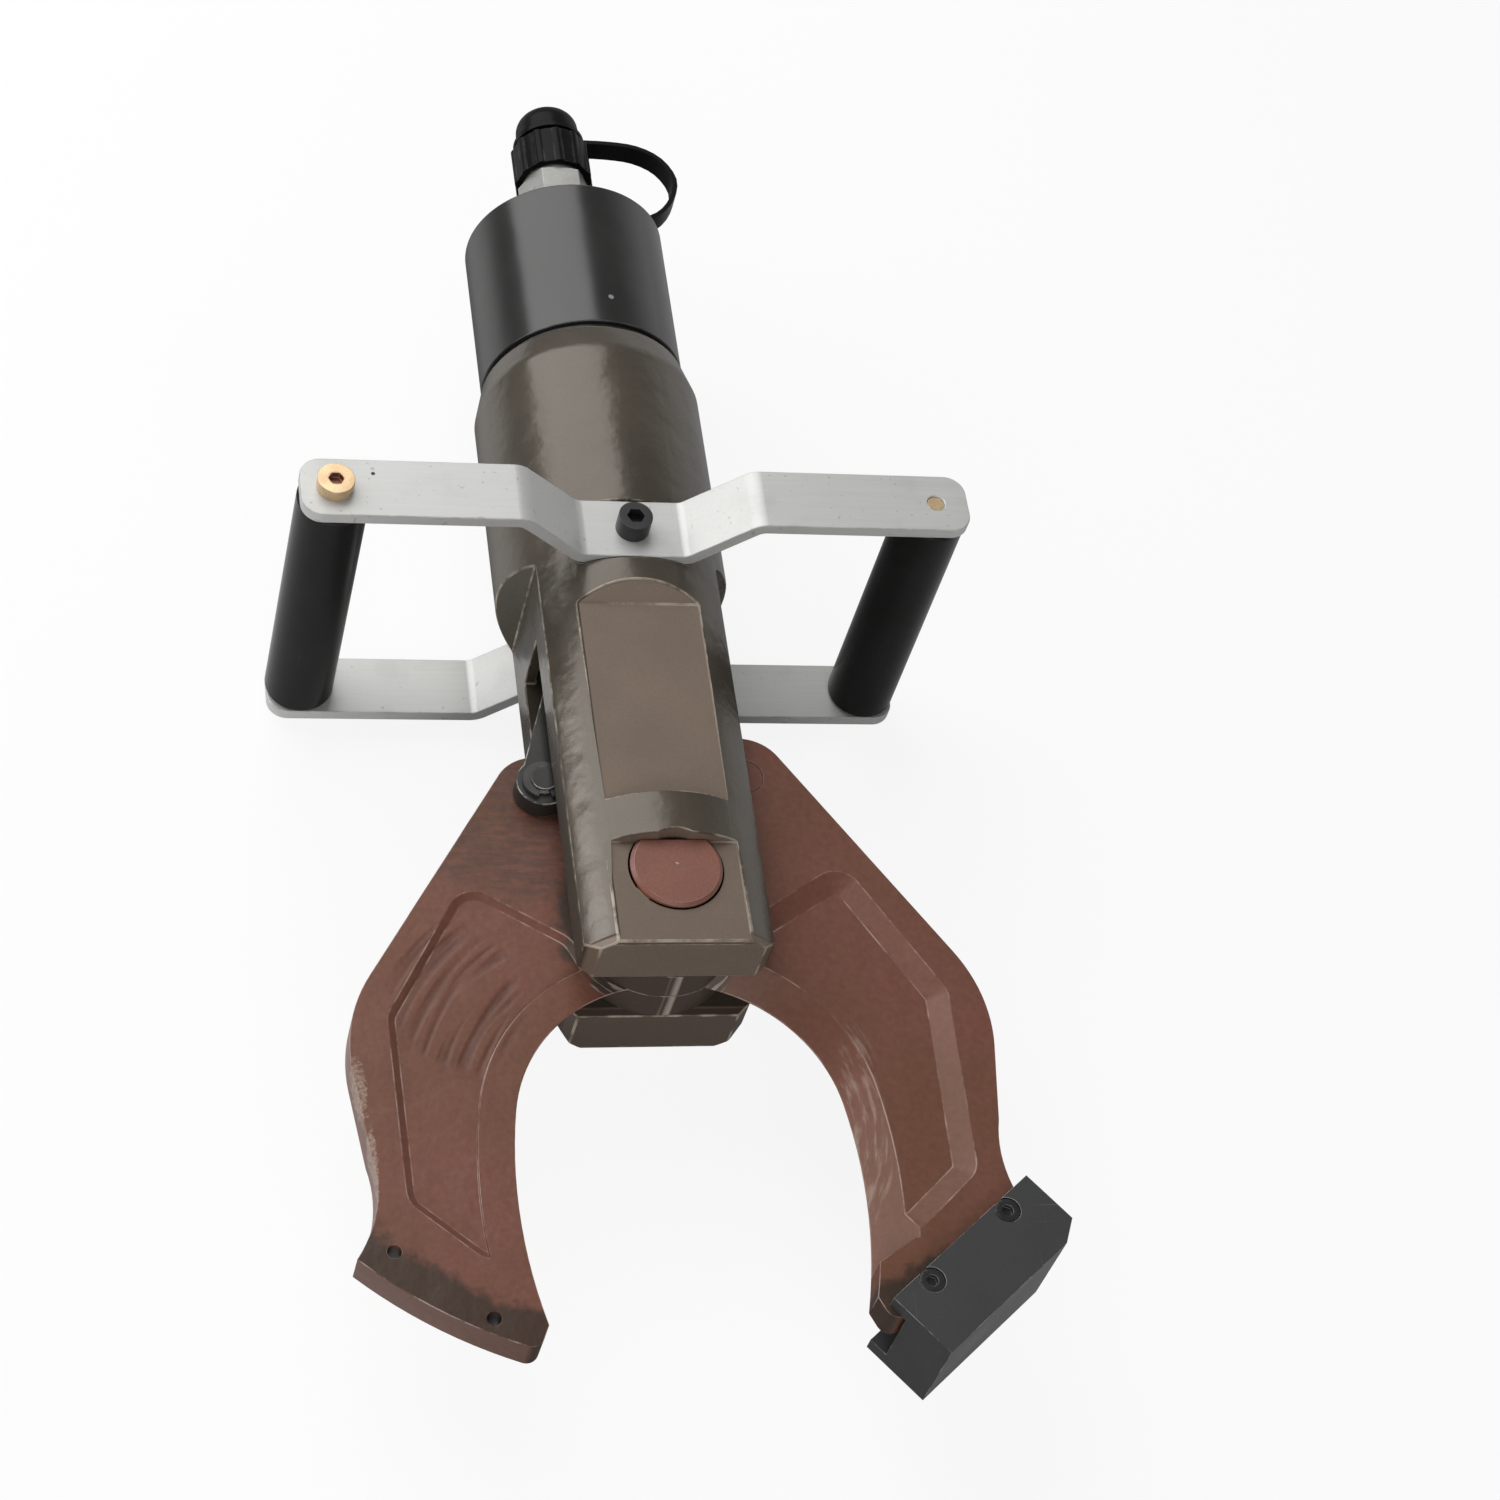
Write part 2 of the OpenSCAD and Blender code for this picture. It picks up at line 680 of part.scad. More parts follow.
// Long pad, flat round the pin and cross seat for the strap, seen along the tool's side
module face_cuts() {
    top = body_r + eps;
    rotate([90, 0, 90]) translate([0, 0, -far / 2]) linear_extrude(far) {
        polygon([
            [pad_start, pad_z], [pad_end, pad_z], [pad_end + top - pad_z, top], [pad_start, top]
        ]);
        polygon([
            [-cheek_reach - eps, pin_z], [ledge_rise, pin_z], [ledge_rise, top], [-cheek_reach - eps, top]
        ]);
        polygon([
            [-cheek_reach - eps, pin_z - 2.5], [-cheek_reach + 1.5, pin_z + eps], [-cheek_reach - eps, pin_z + eps]
        ]);
        polygon([
            [handle_rise - strap_w / 2 - 0.4, seat_z], [handle_rise + strap_w / 2 + 0.4, seat_z],
            [handle_rise + strap_w / 2 + 0.4, top], [handle_rise - strap_w / 2 - 0.4, top]
        ]);
    }
}

module rod_bush() {
    color([0.72, 0.52, 0.26]) along_y(bush_low) tube(bush_r, rod_r + shaft_gap, bush_len);
}

module rod_wiper() {
    color([0.1, 0.1, 0.12]) along_y(chamber_top + 1.1) tube(bush_r, rod_r + shaft_gap, wiper_h - 1.2);
}

// Coil spring swept as one tube; the ends lie flat against their seats
spring_turns = 7;
spring_steps = 16;
spring_sides = 6;
spring_run = piston_low - spring_seat - coil_wire - 0.4;

function coil_point(k, n, turns, r, run) =
    let(a = 360 * turns * k / n)
    [r * cos(a), r * sin(a), run * k / n];
function coil_ring(k, n, turns, r, run, wire, sides) =
    let(a = 360 * turns * k / n, c = coil_point(k, n, turns, r, run))
    [for (j = [0:sides - 1]) let(b = 360 * j / sides) c + wire / 2 * [cos(a) * cos(b), sin(a) * cos(b), sin(b)]];

module coil(turns, r, run, wire, sides = spring_sides, steps = spring_steps) {
    n = turns * steps;
    points = [for (k = [0:n]) each coil_ring(k, n, turns, r, run, wire, sides)];
    walls = [
        for (k = [0:n - 1], j = [0:sides - 1])
            let(a = k * sides + j, b = k * sides + (j + 1) % sides)
            each [[a, b, b + sides], [a, b + sides, a + sides]]
    ];
    first = [for (j = [1:sides - 2]) [0, j + 1, j]];
    last = [for (j = [1:sides - 2]) [n * sides, n * sides + j, n * sides + j + 1]];
    polyhedron(concat(points), concat(walls, first, last));
}

module return_spring() {
    color([0.5, 0.5, 0.5]) along_y(spring_seat + coil_wire / 2 + 0.2)
        coil(spring_turns, coil_r, spring_run, coil_wire);
}

// Head outline of the centre pin, with its flat against the ledge
module pin_head_2d(grow = 0) {
    intersection() {
        circle(pin_head_r + grow);
        translate([-far, -2 * far + ledge_rise - 0.4 + grow]) square([2 * far, 2 * far]);
    }
}

washer_t = 2;
ring_t = 1.75;
pin_tail = washer_t + ring_t + 2.5;

module centre_pin() {
    color([0.5, 0.27, 0.22]) at_pin() {
        head_low = pin_z + pin_head_proud - pin_head_t;
        difference() {
            intersection() {
                translate([0, 0, head_low]) linear_extrude(pin_head_t) pin_head_2d();
                translate([0, 0, head_low]) rotate_extrude() polygon([
                    [0, 0], [pin_head_r, 0], [pin_head_r, pin_head_t - 1], [pin_head_r - 1.2, pin_head_t], [0, pin_head_t]
                ]);
            }
            translate([0, 0, head_low + pin_head_t - 0.7]) cylinder(h = eps, r = 0.8);
        }
        difference() {
            translate([0, 0, -pin_z - pin_tail]) cylinder(h = head_low + pin_z + pin_tail + eps, r = pin_r);
            translate([0, 0, -pin_z - washer_t - ring_t - 0.1]) tube(pin_r + eps, pin_r - 1, ring_t + 0.1);
        }
    }
}

module centre_pin_washer() {
    color([0.6, 0.6, 0.6]) at_pin() translate([0, 0, -pin_z - washer_t]) tube(pin_head_r, pin_r + 0.1, washer_t);
}

module centre_pin_ring() {
    color([0.25, 0.25, 0.26]) at_pin() translate([0, 0, -pin_z - washer_t - ring_t - 0.05]) rotate(-65)
        rotate_extrude(angle = 310) translate([pin_r - 0.95, 0]) square([3.2, ring_t]);
}

// Guide: a channel on the right foot that the left foot slides into
hole_mid = (near_hole + far_hole) / 2;
hole_line = unit(near_hole - far_hole);
hole_turn = atan2(hole_line[1], hole_line[0]);

module guide_frame() {
    at_pin() translate([hole_mid[0], hole_mid[1], 0]) rotate(hole_turn) children();
}

module guide_channel() {
    color([0.23, 0.23, 0.23]) difference() {
        guide_frame() difference() {
            translate([0, 0, -jaw_top - run_gap - guide_t]) linear_extrude(2 * jaw_top + run_gap + 2 * guide_t) polygon([
                [-guide_half, -guide_in], [-guide_half, guide_out - 5], [-guide_half + 9, guide_out],
                [guide_half, guide_out], [guide_half, -guide_in]
            ]);
            for (s = [-1, 1]) {
                translate([s * norm(near_hole - far_hole) / 2, 0, jaw_top - eps])
                    cylinder(h = guide_t + 2 * eps, r = guide_screw_r + 0.3);
                translate([s * norm(near_hole - far_hole) / 2, 0, jaw_top + guide_t - 3.4])
                    cylinder(h = guide_t, r = guide_head_r + 0.3);
            }
        }
        at_pin() translate([0, 0, -jaw_top - run_gap]) cylinder(h = 2 * jaw_top + run_gap, r = reach + guide_gap, $fn = 192);
    }
}

module guide_screws() {
    color([0.12, 0.12, 0.12]) guide_frame() for (s = [-1, 1]) {
        translate([s * norm(near_hole - far_hole) / 2, 0, 0]) difference() {
            union() {
                translate([0, 0, jaw_low + 0.5]) cylinder(h = jaw_t, r = foot_hole_r - shaft_gap);
                translate([0, 0, jaw_top + 0.2]) cylinder(h = guide_t - 3.4, r = guide_screw_r);
                translate([0, 0, jaw_top + guide_t - 3.4]) cylinder(h = 3, r = guide_head_r);
            }
            translate([0, 0, jaw_top + guide_t - 2.2]) cylinder(h = 3, r = 2.3, $fn = 6);
        }
    }
}

function arc(c, r, from, to, steps = 10) = [
    for (k = [0:steps]) let(a = from + (to - from) * k / steps) c + r * [cos(a), sin(a)]
];

// Strap seen along the tool: middle, two slants and two arms
module strap_profile() {
    lean = atan(arm_rise / slant_run);
    fold = (2 * bend_r + strap_t) * tan(lean / 2) / 2;
    low = [mid_half - fold, seat_z + strap_t + bend_r];
    high = [arm_x + fold, arm_z - bend_r];
    half = concat(
        [[0, seat_z]],
        arc(low, bend_r + strap_t, -90, lean - 90),
        arc(high, bend_r, 90 + lean, 90),
        [[strap_x, arm_z], [strap_x, arm_out]],
        arc(high, bend_r + strap_t, 90, 90 + lean),
        arc(low, bend_r, lean - 90, -90),
        [[0, seat_z + strap_t]]
    );
    back = [for (i = [len(half) - 2:-1:1]) [-half[i][0], half[i][1]]];
    polygon(concat(half, back));
}

module strap() {
    at_pin() translate([0, handle_rise, 0]) difference() {
        intersection() {
            translate([0, strap_w / 2, 0]) rotate([90, 0, 0]) linear_extrude(strap_w) strap_profile();
            linear_extrude(far) {
                translate([-strap_x + strap_round, -strap_w / 2]) square([2 * (strap_x - strap_round), strap_w]);
                translate([-strap_x, -strap_w / 2 + strap_round]) square([2 * strap_x, strap_w - 2 * strap_round]);
                for (x = [-1, 1], y = [-1, 1]) {
                    translate([x * (strap_x - strap_round), y * (strap_w / 2 - strap_round)]) circle(strap_round);
                }
            }
        }
        cylinder(h = far, r = screw_r + 0.3);
        translate([-grip_x, 0, 0]) cylinder(h = far, r = screw_r + 0.2);
        translate([grip_x, 0, 0]) cylinder(h = far, r = screw_core);
    }
}

module front_strap() {
    color([0.82, 0.83, 0.83]) strap();
}

module rear_strap() {
    color([0.82, 0.83, 0.83]) flipped() strap();
}

// Socket head screw standing on zero, its shank down
module socket_screw(head_r, head_h, shank, shank_r, core, core_r, key) {
    difference() {
        cylinder(h = head_h, r = head_r);
        translate([0, 0, head_h * 0.45]) cylinder(h = head_h, r = key / sqrt(3), $fn = 6);
    }
    translate([0, 0, -shank]) cylinder(h = shank + 0.1, r = shank_r);
    translate([0, 0, -shank - core]) cylinder(h = core + 0.1, r = core_r);
}

module strap_screws() {
    color([0.1, 0.1, 0.1]) at_pin() for (a = [0, 180]) {
        rotate([0, a, 0]) translate([0, handle_rise, seat_z + strap_t])
            socket_screw(screw_head_r, screw_head_h, strap_t, screw_r, screw_deep - 1, screw_core - shaft_gap, 6);
    }
}

module grip() {
    at_pin() translate([-grip_x, handle_rise, -arm_z]) rotate_extrude() polygon([
        [screw_r + 0.2, 0], [grip_r - 1, 0], [grip_r, 1], [grip_r, 2 * arm_z - 1], [grip_r - 1, 2 * arm_z],
        [screw_r + 0.2, 2 * arm_z]
    ]);
}

module left_grip() {
    color([0.06, 0.06, 0.06]) grip();
}

module right_grip() {
    color([0.06, 0.06, 0.06]) flipped() grip();
}

module grip_bolts() {
    color([0.75, 0.58, 0.3]) at_pin() for (a = [0, 180]) {
        rotate([0, a, 0]) translate([-grip_x, handle_rise, arm_out])
            socket_screw(bolt_head_r, bolt_head_h, 2 * arm_z + strap_t, screw_r, strap_t - 0.6, screw_core - shaft_gap, 5);
    }
}

// Adapter screwed into the barrel's port, with a stud for the coupler
stud_up = 9;
stud_up_r = 8;

module hexagon(h) {
    intersection() {
        cylinder(h = h, r = hex_flats / sqrt(3), $fn = 6);
        rotate_extrude() polygon([
            [0, 0], [hex_flats / 2 - 0.4, 0], [hex_flats / sqrt(3), 1], [hex_flats / sqrt(3), h - 1],
            [hex_flats / 2 - 0.4, h], [0, h]
        ]);
    }
}

module port_adapter() {
    color([0.66, 0.65, 0.6]) along_y() difference() {
        union() {
            translate([0, 0, barrel_top - port_deep + 0.5]) cylinder(h = port_deep + seal_t, r = port_r);
            translate([0, 0, adapter_low]) hexagon(adapter_h);
            translate([0, 0, adapter_top - eps]) cylinder(h = neck_h + eps, r = neck_r);
            translate([0, 0, hex_low - eps]) cylinder(h = stud_up + eps, r = stud_up_r);
        }
        translate([0, 0, barrel_top - port_deep]) cylinder(h = far, r = flow_r - 1);
    }
}

module adapter_seal() {
    color([0.45, 0.42, 0.38]) along_y(barrel_top) tube(hex_flats / 2 - 0.5, port_r + 0.1, seal_t);
}

// Male coupler half with a sprung poppet in its bore
poppet_r = 5.2;
poppet_seat = collar_top - 4;
spring_floor = hex_low + stud_up;

module coupler_half() {
    color([0.78, 0.78, 0.76]) along_y() difference() {
        union() {
            translate([0, 0, hex_low]) hexagon(coupler_h);
            translate([0, 0, collar_low - eps]) rotate_extrude() polygon([
                [0, 0], [collar_r, 0], [collar_r, collar_h - 0.5], [collar_r - 1.5, collar_h + eps],
                [0, collar_h + eps]
            ]);
        }
        translate([0, 0, hex_low - eps]) cylinder(h = stud_up + eps + 0.3, r = stud_up_r + shaft_gap);
        translate([0, 0, spring_floor]) cylinder(h = poppet_seat - spring_floor, r = poppet_r + 1);
        translate([0, 0, poppet_seat - eps]) cylinder(h = far, r = poppet_r - 1.2);
    }
}

module coupler_poppet() {
    color([0.75, 0.75, 0.72]) along_y(poppet_seat) {
        translate([0, 0, -8]) cylinder(h = 8 - run_gap, r = poppet_r);
        translate([0, 0, -1]) cylinder(h = 4.4, r = poppet_r - 1.5);
    }
}

module poppet_spring() {
    color([0.6, 0.6, 0.6]) along_y(spring_floor + 0.8)
        coil(4, 5, poppet_seat - 8 - spring_floor - 1.6, 1, 6, 12);
}

// Dust cap: a lobed skirt, a stepped dome and a groove that holds the tether
lobes = 12;
lobe_r = 2.6;
groove_low = cap_top + 2.4;
step_y = cap_top + dome_h * 0.55;

module dust_cap() {
    color([0.07, 0.07, 0.07]) along_y() difference() {
        union() {
            translate([0, 0, cap_low]) linear_extrude(cap_top - cap_low) {
                circle(cap_r - 0.7);
                for (k = [0:lobes - 1]) {
                    rotate(360 * k / lobes) translate([cap_r - lobe_r, 0]) circle(lobe_r, $fn = 24);
                }
            }
            translate([0, 0, cap_top - eps]) cylinder(h = groove_low - cap_top + eps, r = dome_r + 0.8);
            translate([0, 0, groove_low - eps]) cylinder(h = tether_t + 0.4 + 2 * eps, r = dome_r - 1);
            translate([0, 0, groove_low + tether_t + 0.4]) cylinder(h = step_y - groove_low - tether_t - 0.4, r = dome_r);
            intersection() {
                translate([0, 0, step_y - eps]) cylinder(h = far, r = dome_r - 2);
                translate([0, 0, cap_top + dome_h - 2 * dome_r]) sphere(2 * dome_r);
            }
        }
        translate([0, 0, cap_low - eps]) cylinder(h = collar_top - cap_low + eps + run_gap, r = cap_in);
    }
}

// Tether: a flat moulded strap with a ring round the neck and a ring round the dome.
// Its route is in the plane of the two rings, from the neck out and back to the dome.
tether_ring_w = 3;
tether_low = adapter_top + neck_h / 2;
tether_high = groove_low + tether_t / 2 + 0.2;
tether_shape = [
    [11.5, 0], [20, 0], [32, 0.01], [42, 0.1], [49, 0.31], [51.5, 0.57], [46.5, 0.82], [37, 0.96], [25, 1], [12, 1]
];
tether_route = [for (p = tether_shape) [p[0], tether_low + (tether_high - tether_low) * p[1]]];

function mid_point(p, i, t) =
    let(n = len(p) - 1, a = p[max(i - 1, 0)], b = p[i], c = p[min(i + 1, n)], d = p[min(i + 2, n)])
    0.5 * (2 * b + (c - a) * t + (2 * a - 5 * b + 4 * c - d) * t * t + (3 * b - a - 3 * c + d) * t * t * t);
function smooth(p, cuts) = [
    for (i = [0:len(p) - 2], k = [0:cuts - 1]) mid_point(p, i, k / cuts),
    p[len(p) - 1]
];
function beside(p, i, w) =
    p[i] + turned(unit(p[min(i + 1, len(p) - 1)] - p[max(i - 1, 0)]), 90) * w;

module band_2d(path, w) {
    n = len(path) - 1;
    polygon(concat(
        [for (i = [0:n]) beside(path, i, w / 2)],
        [for (i = [n:-1:0]) beside(path, i, -w / 2)]
    ));
}

module cap_tether() {
    low_y = tether_low - tether_t / 2;
    high_y = tether_high - tether_t / 2;
    color([0.09, 0.09, 0.09]) difference() {
        union() {
            along_y(low_y) cylinder(h = tether_t, r = neck_r + 0.3 + tether_ring_w);
            along_y(high_y) cylinder(h = tether_t, r = dome_r - 0.7 + tether_ring_w);
            at_pin() translate([0, 0, -tether_w / 2]) linear_extrude(tether_w) band_2d(smooth(tether_route, 3), tether_t);
        }
        along_y(low_y - eps) cylinder(h = tether_t + 2 * eps, r = neck_r + 0.3);
        along_y(high_y - eps) cylinder(h = tether_t + 2 * eps, r = dome_r - 0.7);
    }
}

yoke_body();
cylinder_barrel();
barrel_o_ring();
piston();
piston_seal();
piston_wear_ring();
piston_rod();
rod_bush();
rod_wiper();
return_spring();
crosshead();
crosshead_pins();
left_link();
right_link();
left_link_pin();
right_link_pin();
left_link_clip();
right_link_clip();
left_jaw();
right_jaw();
centre_pin();
centre_pin_washer();
centre_pin_ring();
guide_channel();
guide_screws();
front_strap();
rear_strap();
strap_screws();
left_grip();
right_grip();
grip_bolts();
port_adapter();
adapter_seal();
coupler_half();
coupler_poppet();
poppet_spring();
dust_cap();
cap_tether();
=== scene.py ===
import json
import math
import bpy
from mathutils import Matrix, Vector

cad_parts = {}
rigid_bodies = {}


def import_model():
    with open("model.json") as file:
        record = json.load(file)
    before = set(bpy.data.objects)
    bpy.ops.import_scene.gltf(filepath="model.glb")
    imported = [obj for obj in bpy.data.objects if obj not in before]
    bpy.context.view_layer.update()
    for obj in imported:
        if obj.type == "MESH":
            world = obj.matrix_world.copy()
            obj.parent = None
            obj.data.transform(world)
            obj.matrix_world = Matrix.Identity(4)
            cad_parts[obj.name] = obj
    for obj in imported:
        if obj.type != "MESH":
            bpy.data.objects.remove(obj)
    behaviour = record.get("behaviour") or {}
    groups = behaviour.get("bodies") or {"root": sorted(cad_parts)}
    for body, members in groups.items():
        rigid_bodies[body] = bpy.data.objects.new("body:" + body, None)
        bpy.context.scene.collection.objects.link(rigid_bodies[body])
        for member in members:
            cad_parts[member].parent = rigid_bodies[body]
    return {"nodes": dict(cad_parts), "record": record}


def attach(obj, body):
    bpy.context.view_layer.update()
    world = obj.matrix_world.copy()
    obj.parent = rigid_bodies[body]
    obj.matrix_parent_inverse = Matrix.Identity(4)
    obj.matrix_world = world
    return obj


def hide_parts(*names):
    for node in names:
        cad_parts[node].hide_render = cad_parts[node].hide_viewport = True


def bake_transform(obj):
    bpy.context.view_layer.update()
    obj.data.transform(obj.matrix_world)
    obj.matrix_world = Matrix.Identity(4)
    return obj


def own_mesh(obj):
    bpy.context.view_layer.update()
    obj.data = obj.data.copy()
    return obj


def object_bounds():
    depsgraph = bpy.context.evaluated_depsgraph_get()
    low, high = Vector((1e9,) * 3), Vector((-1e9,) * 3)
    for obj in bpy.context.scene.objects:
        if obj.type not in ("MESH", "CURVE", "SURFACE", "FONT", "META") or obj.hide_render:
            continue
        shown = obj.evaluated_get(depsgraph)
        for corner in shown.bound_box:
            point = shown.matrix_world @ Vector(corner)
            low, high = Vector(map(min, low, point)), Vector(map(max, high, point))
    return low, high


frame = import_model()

# Hydraulic cable cutter head, dressed for the photograph.
# Lengths are in metres, +Y runs from the throat to the hose coupler, +Z is the front face.

MM = 0.001
nodes = frame["nodes"]
record = frame["record"]
cad_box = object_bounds()

JOINTS = {joint["name"]: joint for joint in record["behaviour"]["joints"]}
BODY_OF = {node: body for body, members in record["behaviour"]["bodies"].items() for node in members}
SLOT_OF = {part["node"]: part["material_slot"] for part in record["subparts"]}


# Camera at the photograph's viewing angle

IMAGE = 1500
FOCAL_PX = 3501.0
CENTRE_PX = (761.5, 792.9)
SENSOR = 36.0
CAMERA_PLACE = (-0.2849, -0.5624, 1.0647)

camera_data = bpy.data.cameras.new("camera")
camera = bpy.data.objects.new("camera", camera_data)
bpy.context.collection.objects.link(camera)
right = Vector((0.967715, -0.134524, 0.213144))
down = Vector((0.005446, -0.834300, -0.551284))
ahead = Vector((0.251987, 0.534647, -0.806632))
turn = Matrix((right, -down, -ahead)).transposed()
camera.matrix_world = Matrix.Translation(CAMERA_PLACE) @ turn.to_4x4()
camera_data.sensor_width = SENSOR
camera_data.lens = FOCAL_PX / IMAGE * SENSOR
camera_data.shift_x = (IMAGE / 2 - CENTRE_PX[0]) / IMAGE
camera_data.shift_y = (CENTRE_PX[1] - IMAGE / 2) / IMAGE
camera_data.clip_end = 20
bpy.context.scene.camera = camera


# Selection and finishing helpers

def deselect_all():
    if bpy.context.object and bpy.context.object.mode != "OBJECT":
        bpy.ops.object.mode_set(mode="OBJECT")
    bpy.ops.object.select_all(action="DESELECT")


def activate(piece):
    deselect_all()
    piece.select_set(True)
    bpy.context.view_layer.objects.active = piece


def name_piece(name):
    piece = bpy.context.object
    piece.name = name
    piece.data.name = name
    return piece


def apply_place(piece):
    activate(piece)
    bpy.ops.object.transform_apply(location=True, rotation=True, scale=True)


def apply_modifier(piece, kind, name, **values):
    activate(piece)
    modifier = piece.modifiers.new(name, kind)
    for key, value in values.items():
        setattr(modifier, key, value)
    bpy.ops.object.modifier_apply(modifier=modifier.name)


def smooth(piece, angle):
    activate(piece)
    bpy.ops.object.shade_smooth_by_angle(angle=math.radians(angle))


# Shader helpers

def new_material(name):
    material = bpy.data.materials.new(name)
    material.use_nodes = True
    tree = material.node_tree
    tree.nodes.clear()
    output = tree.nodes.new("ShaderNodeOutputMaterial")
    shader = tree.nodes.new("ShaderNodeBsdfPrincipled")
    tree.links.new(shader.outputs["BSDF"], output.inputs["Surface"])
    return material, tree, shader


def feed(tree, socket, value):
    if isinstance(value, (int, float)):
        socket.default_value = value
    elif isinstance(value, tuple):
        socket.default_value = (*value, 1) if socket.type == "RGBA" else value
    else:
        tree.links.new(value, socket)


def math_node(tree, operation, first, second=0.0):
    node = tree.nodes.new("ShaderNodeMath")
    node.operation = operation
    feed(tree, node.inputs[0], first)
    feed(tree, node.inputs[1], second)
    return node.outputs[0]


def product(tree, first, *others):
    for other in others:
        first = math_node(tree, "MULTIPLY", first, other)
    return first


def total(tree, first, second):
    return math_node(tree, "ADD", first, second)


def larger(tree, first, second):
    return math_node(tree, "MAXIMUM", first, second)


def either_side(tree, value):
    return math_node(tree, "ABSOLUTE", value)


def vector_node(tree, operation, first, second=(0, 0, 0)):
    node = tree.nodes.new("ShaderNodeVectorMath")
    node.operation = operation
    feed(tree, node.inputs[0], first)
    feed(tree, node.inputs[1], second)
    return node.outputs["Value"] if operation == "LENGTH" else node.outputs["Vector"]


def split_node(tree, vector):
    node = tree.nodes.new("ShaderNodeSeparateXYZ")
    tree.links.new(vector, node.inputs["Vector"])
    return node.outputs["X"], node.outputs["Y"], node.outputs["Z"]


def join_node(tree, x, y, z):
    node = tree.nodes.new("ShaderNodeCombineXYZ")
    for socket, value in zip(node.inputs, (x, y, z)):
        feed(tree, socket, value)
    return node.outputs["Vector"]


def step_node(tree, value, none, full):
    """Nothing at the first mark and beyond it, one from the second mark on, smooth between them."""
    node = tree.nodes.new("ShaderNodeMapRange")
    node.interpolation_type = "SMOOTHSTEP"
    feed(tree, node.inputs["Value"], value)
    start, end = (0.0, 1.0) if none < full else (1.0, 0.0)
    node.inputs["From Min"].default_value = min(none, full)
    node.inputs["From Max"].default_value = max(none, full)
    node.inputs["To Min"].default_value = start
    node.inputs["To Max"].default_value = end
    return node.outputs["Result"]


def above(tree, value, place, blur):
    """One above the place and nothing below it, blurred by so much to both sides."""
    return step_node(tree, value, place - blur, place + blur)


def below(tree, value, place, blur):
    """One below the place and nothing above it, blurred by so much to both sides."""
    return step_node(tree, value, place + blur, place - blur)


def ramp_node(tree, source, stops):
    node = tree.nodes.new("ShaderNodeValToRGB")
    tree.links.new(source, node.inputs["Fac"])
    ramp = node.color_ramp
    while len(ramp.elements) < len(stops):
        ramp.elements.new(0.5)
    for element, (place, level) in zip(ramp.elements, stops):
        element.position = place
        element.color = (*grey(level), 1)
    return node.outputs["Color"]


def noise_node(tree, coords, scale, detail=3, roughness=0.5):
    node = tree.nodes.new("ShaderNodeTexNoise")
    node.inputs["Detail"].default_value = detail
    node.inputs["Roughness"].default_value = roughness
    feed(tree, node.inputs["Scale"], scale)
    tree.links.new(coords, node.inputs["Vector"])
    return node.outputs["Fac"]


def stretch_node(tree, coords, scale, turned=0):
    node = tree.nodes.new("ShaderNodeMapping")
    node.inputs["Scale"].default_value = scale
    node.inputs["Rotation"].default_value = (0, 0, math.radians(turned))
    tree.links.new(coords, node.inputs["Vector"])
    return node.outputs["Vector"]


def mix_colour(tree, amount, first, second, blend="MIX"):
    node = tree.nodes.new("ShaderNodeMix")
    node.data_type = "RGBA"
    node.blend_type = blend
    for slot, value in ((0, amount), (6, first), (7, second)):
        feed(tree, node.inputs[slot], value)
    return node.outputs[2]


def mix_value(tree, amount, first, second):
    node = tree.nodes.new("ShaderNodeMix")
    for slot, value in ((0, amount), (2, first), (3, second)):
        feed(tree, node.inputs[slot], value)
    return node.outputs[0]


def grey(level):
    return (level, level, level)


def group_frame(name, inputs, outputs):
    tree = bpy.data.node_groups.new(name, "ShaderNodeTree")
    for label, kind, value in inputs:
        socket = tree.interface.new_socket(name=label, in_out="INPUT", socket_type="NodeSocket" + kind)
        if value is not None:
            socket.default_value = value
    for label, kind in outputs:
        tree.interface.new_socket(name=label, in_out="OUTPUT", socket_type="NodeSocket" + kind)
    return tree, tree.nodes.new("NodeGroupInput").outputs, tree.nodes.new("NodeGroupOutput").inputs


# Painted or moulded surface: cloudy tint, fine texture, dull and glossy patches

def make_coating_group():
    tree, given, out = group_frame("coating", [
        ("Coords", "Vector", None),
        ("Colour", "Color", (0.5, 0.5, 0.5, 1)),
        ("Patch Colour", "Color", (0.4, 0.4, 0.4, 1)),
        ("Patch Scale", "Float", 20.0),
        ("Patch Amount", "Float", 0.4),
        ("Grain Scale", "Float", 900.0),
        ("Rough", "Float", 0.4),
        ("Rough Spread", "Float", 0.15),
    ], [("Colour", "Color"), ("Rough", "Float"), ("Height", "Float")])
    cloud = noise_node(tree, given["Coords"], given["Patch Scale"], 5)
    grain = noise_node(tree, given["Coords"], given["Grain Scale"], 2)
    clouded = product(tree, step_node(tree, cloud, 0.35, 0.7), given["Patch Amount"])
    tint = mix_colour(tree, clouded, given["Colour"], given["Patch Colour"])
    fleck = ramp_node(tree, grain, [(0.3, 0.9), (0.7, 1.08)])
    tree.links.new(mix_colour(tree, 1.0, tint, fleck, "MULTIPLY"), out["Colour"])
    spread = product(tree, math_node(tree, "SUBTRACT", cloud, 0.5), given["Rough Spread"])
    tree.links.new(total(tree, given["Rough"], spread), out["Rough"])
    tree.links.new(grain, out["Height"])
    return tree


# Fine scratches: hair lines in three directions, in places only

SCRATCH_LINES = ((24, (30, 3200, 30)), (-52, (3600, 26, 26)), (78, (24, 2800, 24)))


